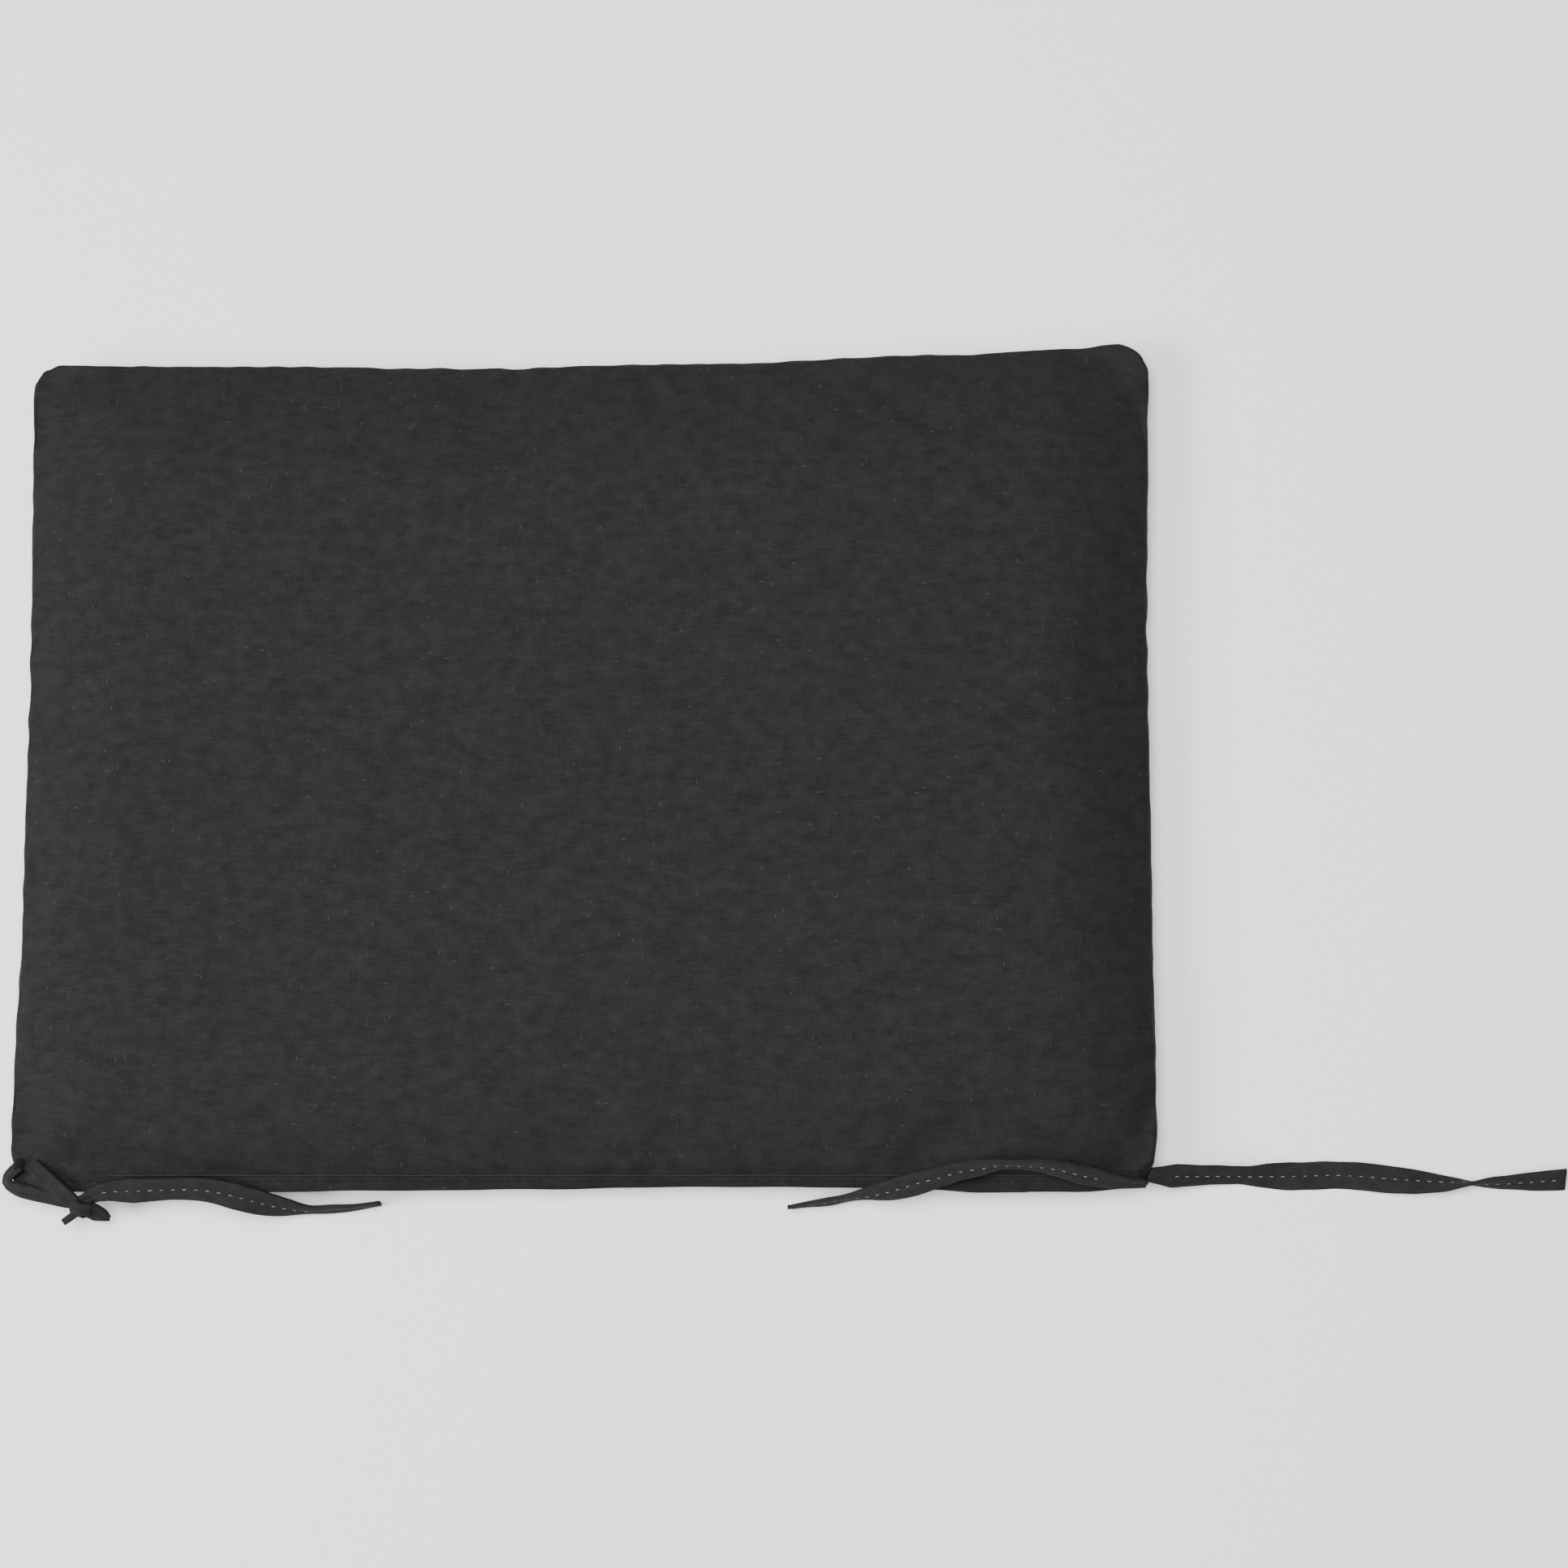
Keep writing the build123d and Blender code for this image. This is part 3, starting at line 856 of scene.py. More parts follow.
    def top_height(self, x: float, y: float, inset: float) -> float:
        """Height of the top over a place, from how far inside the outline it is."""
        forward = min(max((y - self.rear) / (self.front - self.rear), 0.0), 1.0)
        share = min(inset / (self.rear_roll + (self.front_roll - self.rear_roll) * forward**0.5), 1.0)
        rise = 1 - (1 - share) ** 2
        u, v = x / self.half_width, (y - self.crown_middle) / self.crown_half
        crown = self.crown * max(0.0, 1 - u**4) * max(0.0, 1 - v**4)
        return self.seam + (self.thickness - self.seam) * rise + crown

    def foot_height(self, inset: float) -> float:
        """Height of the underside, from how far inside the outline it is."""
        share = min(inset / self.foot, 1.0)
        return self.foot * (1 - math.sqrt(1 - (1 - share) ** 2))


@dataclass
class CoverShell:
    """The whole cover as one closed skin of numbered points and faces."""

    form: PadForm
    seam_tuck: float = 0.0008
    wall_swell: float = 0.0008
    frames: int = 18
    pressure: float = 1.2
    most_moved: float = 0.0035
    pucker_depth: float = 0.0003
    pucker_reach: float = 0.009
    slack: float = 0.0006
    points: list = field(default_factory=list)
    cut: list = field(default_factory=list)
    top_faces: list = field(default_factory=list)
    under_faces: list = field(default_factory=list)
    firm: dict = field(default_factory=dict)

    def build(self) -> "CoverShell":
        """Sets out the points and faces, and how firmly each point is held."""
        form = self.form
        nx, ny = form.shape
        loop = [(i, 0) for i in range(nx)] + [(nx - 1, j) for j in range(1, ny)]
        loop += [(i, ny - 1) for i in range(nx - 2, -1, -1)] + [(0, j) for j in range(ny - 2, 0, -1)]
        edge = np.array([form.plan(i, j) for i, j in loop])
        way = np.roll(edge, -1, 0) - np.roll(edge, 1, 0)
        out = np.stack([way[:, 1], -way[:, 0]], 1) / np.linalg.norm(way, axis=1)[:, None]
        place = {key: number for number, key in enumerate(loop)}

        def add(point: Point, cut: tuple[float, float], firm: float) -> int:
            """Adds a point."""
            self.points.append(point)
            self.cut.append(cut)
            self.firm[len(self.points) - 1] = firm
            return len(self.points) - 1

        top: dict = {}
        for i in range(nx):
            for j in range(ny):
                x, y = form.plan(i, j)
                inset = form.inset(i, j)
                z = form.top_height(x, y, inset)
                if (i, j) in place:
                    ox, oy = out[place[i, j]]
                    x, y, z = x - ox * self.seam_tuck, y - oy * self.seam_tuck, form.seam
                top[i, j] = add((x, y, z), (form.xs[i], form.ys[j]), 1.0 if inset < 1e-6 else 0.06)
        self.top_faces = [
            (top[i, j], top[i + 1, j], top[i + 1, j + 1], top[i, j + 1])
            for i in range(nx - 1)
            for j in range(ny - 1)
        ]
        rows = [[top[key] for key in loop]]
        for height in (h * MM for h in form.wall):
            row = []
            for number, key in enumerate(loop):
                ox, oy = out[number]
                rear = oy < -0.9
                climbed = (height - form.foot) / (form.seam - form.foot)
                swell = 0.0 if rear else self.wall_swell * math.sin(math.pi * climbed)
                x, y = edge[number] + out[number] * swell
                drop = form.foot * 0.6 + height
                cut = (edge[number][0] + ox * drop, edge[number][1] + oy * drop)
                row.append(add((x, y, height), cut, 1.0 if rear else 0.15))
            rows.append(row)
        under: dict = {}
        for i in range(nx):
            for j in range(ny):
                x, y = form.plan(i, j)
                cut_x, cut_y = form.xs[i], form.ys[j]
                if (i, j) in place:
                    ox, oy = out[place[i, j]]
                    edge_x, edge_y = edge[place[i, j]]
                    cut_x, cut_y = edge_x + ox * form.foot, edge_y + oy * form.foot
                z = form.foot_height(form.inset(i, j))
                under[i, j] = add((x, y, z), (cut_x, cut_y), 1.0 if j == 0 else 0.12)
        rows.append([under[key] for key in loop])
        for upper, lower in zip(rows, rows[1:]):
            for n in range(len(loop)):
                after = (n + 1) % len(loop)
                self.under_faces.append((lower[n], lower[after], upper[after], upper[n]))
        self.under_faces += [
            (under[i, j], under[i, j + 1], under[i + 1, j + 1], under[i + 1, j])
            for i in range(nx - 1)
            for j in range(ny - 1)
        ]
        log.info("cover shell: %d points", len(self.points))
        return self

    def settle(self) -> None:
        """Blows the cover up as cloth, held along its seam and where the zip is sewn in."""
        item = make_object("cover_settling", self.points, self.top_faces + self.under_faces)
        rng = np.random.default_rng(11)
        group = item.vertex_groups.new(name="held")
        for number, firm in self.firm.items():
            weight = firm if firm > 0.9 else firm * rng.uniform(0.5, 1.5)
            group.add([number], weight, "REPLACE")
        cloth = item.modifiers.new("cloth", "CLOTH")
        settings = cloth.settings
        settings.quality = 6
        settings.mass = 0.2
        settings.tension_stiffness = settings.compression_stiffness = 12
        settings.shear_stiffness = 6
        settings.bending_stiffness = 0.35
        settings.air_damping = 4
        settings.vertex_group_mass = "held"
        settings.pin_stiffness = 1.0
        settings.shrink_min = -0.006
        settings.use_pressure = True
        settings.uniform_pressure_force = self.pressure
        settings.effector_weights.gravity = 0.0
        cloth.collision_settings.use_collision = False
        cloth.point_cache.frame_start, cloth.point_cache.frame_end = 1, self.frames
        scene = bpy.context.scene
        for number in range(1, self.frames + 1):
            scene.frame_set(number)
        graph = bpy.context.evaluated_depsgraph_get()
        settled = item.evaluated_get(graph).to_mesh()
        places = np.array([v.co[:] for v in settled.vertices])
        before = np.array(self.points)
        scene.frame_set(1)
        bpy.data.objects.remove(item, do_unlink=True)
        moved = places - before
        far = np.linalg.norm(moved, axis=1)
        log.info("settled: moved %.2f mm at most, %.2f mm on average", far.max() / MM, far.mean() / MM)
        moved *= (np.minimum(far, self.most_moved) / np.maximum(far, 1e-9))[:, None]
        places = before + moved
        places[:, 2] = np.maximum(places[:, 2], 0.0)
        self.points = [tuple(p) for p in places]

    def panel(self, name: str, faces: list) -> bpy.types.Object:
        """Makes one panel of the cover, at twice the fineness, with puckers along its seam.

        Args:
            name: the panel's name.
            faces: the faces of the shell that it takes.

        Returns:
            The panel as an open skin.
        """
        used = sorted({number for face in faces for number in face})
        renumber = {old: new for new, old in enumerate(used)}
        points = [self.points[n] for n in used]
        own_faces = [[renumber[n] for n in face] for face in faces]
        item = make_object(name, points, own_faces, [self.cut[n] for n in used])
        subdivide(item)
        bake(item)
        self.pucker(item.data)
        return item

    def pucker(self, mesh: bpy.types.Mesh) -> None:
        """Pushes small gathers into the cloth beside its seam, and slow waves into the top."""
        form = self.form
        cut = np.zeros(len(mesh.loops) * 2)
        mesh.uv_layers["cut"].data.foreach_get("uv", cut)
        corner = np.zeros(len(mesh.loops), int)
        mesh.loops.foreach_get("vertex_index", corner)
        flat = np.zeros((len(mesh.vertices), 2))
        flat[corner] = cut.reshape(-1, 2)
        places = np.zeros(len(mesh.vertices) * 3)
        mesh.vertices.foreach_get("co", places)
        places = places.reshape(-1, 3)
        normals = np.array([v.normal[:] for v in mesh.vertices])
        middle = (form.front + form.rear) / 2
        side = form.half_width - np.abs(flat[:, 0])
        end = (form.front - form.rear) / 2 - np.abs(flat[:, 1] - middle)
        upward = places[:, 2] > form.seam - 1e-5
        near_side = side < end
        inset = np.where(upward, np.minimum(side, end), form.seam - places[:, 2])
        along = np.where(near_side, flat[:, 1], flat[:, 0])
        along = along + np.where(near_side, 0.7, 0.0) * np.sign(flat[:, 0])
        deep = np.clip(inset, 0, 1)
        fade = np.exp(-deep / self.pucker_reach) * (1 - np.exp(-deep / 0.0012))
        rear_wall = (places[:, 1] < form.rear + 0.001) & ~upward
        fade = np.where(rear_wall, 0.0, fade)
        push = self.pucker_depth * ripple(along, 0.012, 5) * fade
        slow = self.slack * ripple(flat[:, 0] + 0.3 * flat[:, 1], 0.12, 8)
        slow = slow * ripple(flat[:, 1] - 0.2 * flat[:, 0], 0.14, 9)
        inside = np.where(upward, 1 - np.exp(-deep / 0.03), 0.0)
        places = places + normals * (push + slow * inside)[:, None]
        places[:, 2] = np.maximum(places[:, 2], 0.0)
        mesh.vertices.foreach_set("co", places.ravel())
        mesh.update()


@dataclass
class Cover:
    """The two sewn panels, with the opening for the zip."""

    form: PadForm
    cloth: float = 0.0009
    window_half: float = 0.185
    window_low: float = 0.008
    window_high: float = 0.018

    def build(self) -> None:
        """Makes the panels and what they replace."""
        shell = CoverShell(self.form).build()
        shell.settle()
        top = shell.panel("cover_top", shell.top_faces)
        under = shell.panel("cover_underside", self.with_window(shell))
        for panel, node in ((top, "top_panel"), (under, "bottom_panel")):
            thicken(panel, self.cloth)
            bake(panel)
            dress(panel, COVER_CLOTH, Slot.CLOTH, node)

    def with_window(self, shell: CoverShell) -> list:
        """Returns the underside's faces, without those over the zip."""
        kept = []
        for face in shell.under_faces:
            middle = np.mean([shell.points[n] for n in face], axis=0)
            in_height = self.window_low < middle[2] < self.window_high
            in_width = abs(middle[0]) < self.window_half
            if not (in_height and in_width and middle[1] < self.form.rear + MM):
                kept.append(face)
        return kept


@dataclass
class Filling:
    """The foam block and the wadding round it."""

    form: PadForm
    wadding: float = 0.002

    def block(self, name: str, shrink: float, low: float, high: float, zip_room: float) -> bpy.types.Object:
        """Makes a soft-edged block that follows the pad.

        Args:
            name: the object's name.
            shrink: from the cover's outline to the block's.
            low: height of its underside.
            high: how far under the cover its top is.
            zip_room: how far it stays from the rear wall.

        Returns:
            The closed block.
        """
        form = self.form
        nx, ny = form.shape
        points, cut, faces = [], [], []
        across, along = list(range(0, nx, 2)), list(range(0, ny, 2))
        rows: dict = {}
        for side in (0, 1):
            for i in across:
                for j in along:
                    x, y = form.plan(i, j, shrink)
                    y = max(y, form.rear + zip_room)
                    inset = form.inset(i, j)
                    top = max(form.top_height(x, y, inset) - high, form.seam)
                    base = min(form.foot_height(inset) + low, form.seam - 0.002)
                    z = top if side == 0 else base
                    rows[side, i, j] = len(points)
                    points.append((x, y, z))
                    cut.append((x, y))
        for a, b in zip(across, across[1:]):
            for c, d in zip(along, along[1:]):
                faces.append((rows[0, a, c], rows[0, b, c], rows[0, b, d], rows[0, a, d]))
                faces.append((rows[1, a, c], rows[1, a, d], rows[1, b, d], rows[1, b, c]))
        loop = [(i, along[0]) for i in across] + [(across[-1], j) for j in along[1:]]
        loop += [(i, along[-1]) for i in across[-2::-1]] + [(across[0], j) for j in along[-2:0:-1]]
        for one, other in zip(loop, loop[1:] + loop[:1]):
            faces.append((rows[1, *one], rows[1, *other], rows[0, *other], rows[0, *one]))
        item = make_object(name, points, faces, cut)
        subdivide(item)
        return bake(item)

    def build(self) -> None:
        """Makes both layers."""
        foam = self.block("foam_block", shrink=0.0085, low=0.0042, high=0.0074, zip_room=0.0100)
        dress(foam, FOAM, Slot.FOAM, "foam_core")
        wrap = self.block("wadding_layer", shrink=0.0046, low=0.0016, high=0.0046, zip_room=0.0066)
        thicken(wrap, self.wadding)
        bake(wrap)
        dress(wrap, WADDING, Slot.WADDING, "wadding_wrap")


# ---- The lip and the zip ------------------------------------------------------------------------
@dataclass
class RearLip:
    """The folded strip over the zip and the row of stitches along it."""

    half_length: float = 0.2262
    root: float = -0.1598
    edges: tuple = (
        (-226, -168.5), (-160, -169), (-70, -168), (70, -166.5), (140, -167.5), (160, -169), (200, -168.5),
        (226, -167),
    )
    base: float = 0.0200
    thick: float = 0.0016
    step: float = 0.0025
    sag: float = 0.002
    end: float = 0.006
    sewn_at: float = -0.1642
    sewn_half: float = 0.2055
    sewn_lift: float = 0.00012

    def outer_edge(self, x: float) -> float:
        """Where the fold is at x."""
        return float(keyed(x * 1000, self.edges)) * MM + 0.0003 * wave(x, 0.045, 21)

    def drop(self, x: float) -> float:
        """How far the fold hangs below the root at x."""
        return self.sag + 0.0005 * wave(x, 0.034, 22)

    def section(self, x: float) -> list[Point]:
        """The strip's closed section at x, from the root round the fold."""
        end = max(0.0, (abs(x) - self.half_length + self.end) / self.end)
        edge = self.outer_edge(x) + 0.0014 * end**2
        drop = self.drop(x)
        swell = 1 + 0.12 * wave(x, 0.021, 23)
        reach = self.root - edge
        loop = []
        profile = (
            (0.0, 1.0), (0.22, 0.9), (0.5, 1.02), (0.8, 1.1), (0.95, 0.92), (1.0, 0.5),
            (0.95, 0.08), (0.8, -0.08), (0.5, 0.0), (0.22, 0.0), (0.0, 0.0),
        )
        for share, height in profile:
            z = self.base + self.thick * swell * (height - 0.5) + self.thick * 0.5 - drop * share**1.5
            loop.append((x, self.root - reach * share, z))
        return loop

    def build(self) -> None:
        """Makes the strip and its stitches."""
        count = round(2 * self.half_length / self.step)
        points, cut, faces = [], [], []
        sections = [self.section(x) for x in np.linspace(-self.half_length, self.half_length, count + 1)]
        size = len(sections[0])
        for section in sections:
            gone = 0.0
            for number, point in enumerate(section):
                if number:
                    gone += math.dist(section[number - 1], point)
                points.append(point)
                cut.append((point[0], self.root - gone))
        faces += loft_faces(count + 1, size)
        faces.append(tuple(range(size - 1, -1, -1)))
        faces.append(tuple(range(count * size, (count + 1) * size)))
        lip = make_object("rear_lip", points, faces, cut)
        subdivide(lip)
        dress(bake(lip), LIP_CLOTH, Slot.CLOTH, "zip_lip")
        line = []
        for x in np.linspace(-self.sewn_half, self.sewn_half, 240):
            share = (self.root - self.sewn_at) / (self.root - self.outer_edge(x))
            z = self.base + self.thick - self.drop(x) * share**1.5 + self.sewn_lift
            line.append(((x, self.sewn_at, z), (0, 0, 1)))
        dark = LIP_STITCH.sew("lip_stitches", [line], DARK_THREAD, seed=3)
        # sparse paler beads over the dark row, one every 31 mm
        pale = SPARSE_PALE_SPOT.sew("pale_stitches", [line], SPARSE_PALE_THREAD, seed=8, Uneven=0.5)
        dress(join(dark, pale), DARK_THREAD, Slot.DARK_THREAD, "lip_topstitch")


@dataclass
class CoilZip:
    """The zip in the rear wall."""

    half_length: float = 0.1848
    centre: float = 0.013
    gap: float = 0.0013
    coil_width: float = 0.0024
    coil_height: float = 0.0022
    coil_face: float = -0.1632
    coil_pitch: float = 0.00125
    coil_wire: float = 0.00082
    tape_half: float = 0.192
    tape_low: float = 0.0052
    tape_high: float = 0.0228
    tape_back: float = -0.1615
    tape_front: float = -0.1621
    sewn_at: float = -0.16315
    sewn_half: float = 0.1895
    sewn_heights: tuple[float, float] = (0.0072, 0.0188)
    tack_at: float = -0.16445
    tack_x: float = 0.183
    tack_heights: tuple[float, float] = (0.0098, 0.0162)

    def tape(self, name: str, low: float, high: float, seed: int) -> bpy.types.Object:
        """Makes one woven tape, slightly uneven.

        Args:
            name: the object's name.
            low: its lower edge's height.
            high: its upper edge's height.
            seed: picks its waves.

        Returns:
            The tape.
        """
        xs = np.linspace(-self.tape_half, self.tape_half, 97)
        heights = np.linspace(low, high, 7)
        points, cut, faces = [], [], []
        for side, y in ((0, self.tape_front), (1, self.tape_back)):
            for x in xs:
                for z in heights:
                    bow = 0.00012 * wave(x, 0.05, seed) * (abs(z - self.centre) / 0.009)
                    points.append((x, y + bow, z))
                    cut.append((x, z + side * 0.03))
        rows, size = len(xs), len(heights)
        for i in range(rows - 1):
            for j in range(size - 1):
                a = i * size + j
                faces.append((a, a + size, a + size + 1, a + 1))
                b = a + rows * size
                faces.append((b, b + 1, b + size + 1, b + size))
        rim = [i * size for i in range(rows)] + [(rows - 1) * size + j for j in range(1, size)]
        rim += [i * size + size - 1 for i in range(rows - 2, -1, -1)] + list(range(size - 2, 0, -1))
        for one, other in zip(rim, rim[1:] + rim[:1]):
            faces.append((other, one, one + rows * size, other + rows * size))
        return make_object(name, points, faces, cut)

    def build(self) -> None:
        """Makes the tapes, the coils, the tacks and the rows that sew the zip in."""
        for name, node, low, high, seed in (
            ("upper_tape", "zip_tape_upper", self.centre + self.gap / 2, self.tape_high, 31),
            ("lower_tape", "zip_tape_lower", self.tape_low, self.centre - self.gap / 2, 32),
        ):
            dress(self.tape(name, low, high, seed), ZIP_CLOTH, Slot.ZIP_TAPE, node)
        facing = (0, -1, 0)
        middle = self.gap / 2 + self.coil_width / 2
        for name, node, z, shift in (
            ("upper_coil", "zip_coil_upper", self.centre + middle, 0.0),
            ("lower_coil", "zip_coil_lower", self.centre - middle, 0.0006),
        ):
            ends = (-self.half_length + 0.0005 + shift, self.half_length - 0.0011 + shift)
            line = [((x, self.coil_face, z), facing) for x in np.linspace(*ends, 30)]
            coil = along_lines(
                name, [line], coil_group(), Pitch=self.coil_pitch, Width=self.coil_width,
                Height=self.coil_height, Wire=self.coil_wire, Material=NYLON.material(),
            )
            dress(coil, NYLON, Slot.ZIP_COIL, node)
        row_xs = np.linspace(-self.sewn_half, self.sewn_half, 60)
        rows = [[((x, self.sewn_at, z), facing) for x in row_xs] for z in self.sewn_heights]
        sewn = SEAM_STITCH.sew("zip_rows", rows, DARK_THREAD, seed=5)
        dress(sewn, DARK_THREAD, Slot.DARK_THREAD, "zip_seam_rows")
        tack_zs = np.linspace(*self.tack_heights, 12)
        tacks = [[((x, self.tack_at, z), facing) for z in tack_zs] for x in (-self.tack_x, self.tack_x)]
        held = END_TACK.sew("zip_tacks", tacks, DARK_THREAD, seed=6)
        dress(held, DARK_THREAD, Slot.DARK_THREAD, "zip_end_tacks")
        for node in ("zip_slider", "zip_slider_bail", "zip_pull_tab"):
            redress(node, SLIDER_METAL)


# ---- The ties -----------------------------------------------------------------------------------
def spline_points(name: str, route: tuple) -> np.ndarray:
    """Runs a spline through a route's points and reads the line back.

    Args:
        name: the curve's name.
        route: its control points, in millimetres.

    Returns:
        The line's points, in metres.
    """
    curve = bpy.data.curves.new(name, "CURVE")
    curve.dimensions = "3D"
    curve.resolution_u = 16
    spline = curve.splines.new("NURBS")
    spline.points.add(len(route) - 1)
    for point, place in zip(spline.points, route):
        point.co = (*(c * MM for c in place), 1.0)
    spline.order_u = 3
    spline.use_endpoint_u = True
    item = in_scene(name, curve)
    mesh = bpy.data.meshes.new_from_object(item)
    places = np.array([v.co[:] for v in mesh.vertices])
    bpy.data.meshes.remove(mesh)
    bpy.data.objects.remove(item, do_unlink=True)
    bpy.data.curves.remove(curve)
    return places


def line_length(points: np.ndarray) -> float:
    """The length of a line of points."""
    return float(np.linalg.norm(np.diff(points, axis=0), axis=1).sum())


def evenly(points: np.ndarray, pitch: float) -> np.ndarray:
    """The same line with its points an even pitch apart."""
    gone = np.concatenate([[0], np.cumsum(np.linalg.norm(np.diff(points, axis=0), axis=1))])
    places = np.linspace(0, gone[-1], max(4, round(gone[-1] / pitch)) + 1)
    return np.stack([np.interp(places, gone, points[:, axis]) for axis in range(3)], 1)


@dataclass
class Ribbon:
    """A flat folded tape along a spline.

    across holds the direction of the width at each point of the route, and squeeze the share of
    the full width there.
    """

    name: str
    route: tuple
    across: tuple
    width: float = 0.0115
    thick: float = 0.0015
    squeeze: tuple = ()
    stitched: bool = True
    seed: int = 1
    pitch: float = 0.0016
    unsewn: float = 0.004
    sewn_from: float = 0.0015
    line: np.ndarray = field(init=False)

    SECTION = (
        (0.93, 0.0), (0.985, 0.62), (0.93, 0.96), (0.72, 1.04), (0.36, 1.06), (0.09, 0.92), (0.0, 0.62),
        (-0.09, 0.92), (-0.36, 1.06), (-0.72, 1.04), (-0.94, 0.86), (-1.0, 0.42),
        (-1.0, -0.42), (-0.94, -0.86), (-0.72, -1.04), (-0.36, -1.06), (-0.09, -0.92), (0.0, -0.62),
        (0.09, -0.92), (0.36, -1.06), (0.72, -1.04), (0.93, -0.96), (0.985, -0.62),
    )

    def __post_init__(self) -> None:
        """Reads the line off the spline."""
        self.line = evenly(spline_points(self.name, self.route), self.pitch)

    def frames(self) -> tuple[np.ndarray, np.ndarray, np.ndarray, np.ndarray]:
        """Returns the share of the length, the width's and face's directions, and the width's scale."""
        count = len(self.line)
        share = np.linspace(0, 1, count)
        tangent = np.gradient(self.line, axis=0)
        tangent /= np.linalg.norm(tangent, axis=1)[:, None]
        near = [int(np.argmin(np.linalg.norm(self.line - np.array(p) * MM, axis=1))) for p in self.route]
        near[0], near[-1] = 0, count - 1
        for n in range(1, len(near) - 1):
            near[n] = min(max(near[n], near[n - 1] + 1), count - len(near) + n)
        keys = [share[n] for n in near]
        unit = [np.array(d, float) / np.linalg.norm(d) for d in self.across]
        width = np.stack([np.interp(share, keys, [d[a] for d in unit]) for a in range(3)], 1)
        kernel = np.hanning(7) / np.hanning(7).sum()
        padded = [np.pad(width[:, a], 3, mode="edge") for a in range(3)]
        width = np.stack([np.convolve(column, kernel, "valid") for column in padded], 1)
        width -= (width * tangent).sum(1)[:, None] * tangent
        width /= np.linalg.norm(width, axis=1)[:, None]
        normal = np.cross(tangent, width)
        roll = 0.07 * ripple(share * line_length(self.line), 0.03, self.seed)
        turned = width * np.cos(roll)[:, None] + normal * np.sin(roll)[:, None]
        face = np.cross(tangent, turned)
        scale = np.interp(share, keys, self.squeeze) if self.squeeze else np.ones(count)
        return share, turned, face, scale

    def build(self) -> bpy.types.Object:
        """Makes the tape, with its stitches as a second material."""
        share, width, face, scale = self.frames()
        gone = share * line_length(self.line)
        size = len(self.SECTION)
        half, deep = self.width / 2, self.thick / 2
        cupped = 0.00035 * ripple(gone, 0.05, self.seed + 40)
        wander = 0.00018 * ripple(gone, 0.017, self.seed + 50)
        points, cut, faces = [], [], []
        last = len(self.line) - 1
        for n, centre in enumerate(self.line):
            edge_wave = 1 + 0.012 * wave(gone[n], 0.012, self.seed + 60)
            plump = 1.12 if scale[n] > 0.99 else 1.0 + 0.5 * (1 - scale[n])
            along = 0.0
            before = None
            for w, h in self.SECTION:
                out = w * half * scale[n] * edge_wave
                lift = h * deep * plump + cupped[n] * (w * w - 0.4) + wander[n]
                point = centre + width[n] * out + face[n] * lift
                if before is not None:
                    along += math.dist(before, (out, lift))
                before = (out, lift)
                points.append(tuple(point))
                cut.append((gone[n], along))
        faces += loft_faces(len(self.line), size)
        for n, turn in ((0, -1), (last, 1)):
            centre = len(points)
            points.append(tuple(self.line[n]))
            cut.append((gone[n], 0.006))
            for k in range(size):
                a, b = n * size + k, n * size + (k + 1) % size
                faces.append((centre, a, b) if turn > 0 else (centre, b, a))
        item = make_object(self.name, points, faces, cut)
        item.data.materials.append(TIE_CLOTH.material())
        if self.stitched:
            keep = [n for n in range(len(gone)) if self.sewn_from < gone[n] < gone[-1] - self.unsewn]
            lines = []
            for sign in (1, -1):
                above = [sign * (deep * 0.78 + 0.00004) + wander[n] - cupped[n] * 0.4 for n in keep]
                lines.append([(self.line[n] + face[n] * up, face[n] * sign) for n, up in zip(keep, above)])
            sewn = TIE_STITCH.sew(f"{self.name}_stitches", lines, PALE_THREAD, seed=self.seed)
            item = join(item, sewn)
        return item


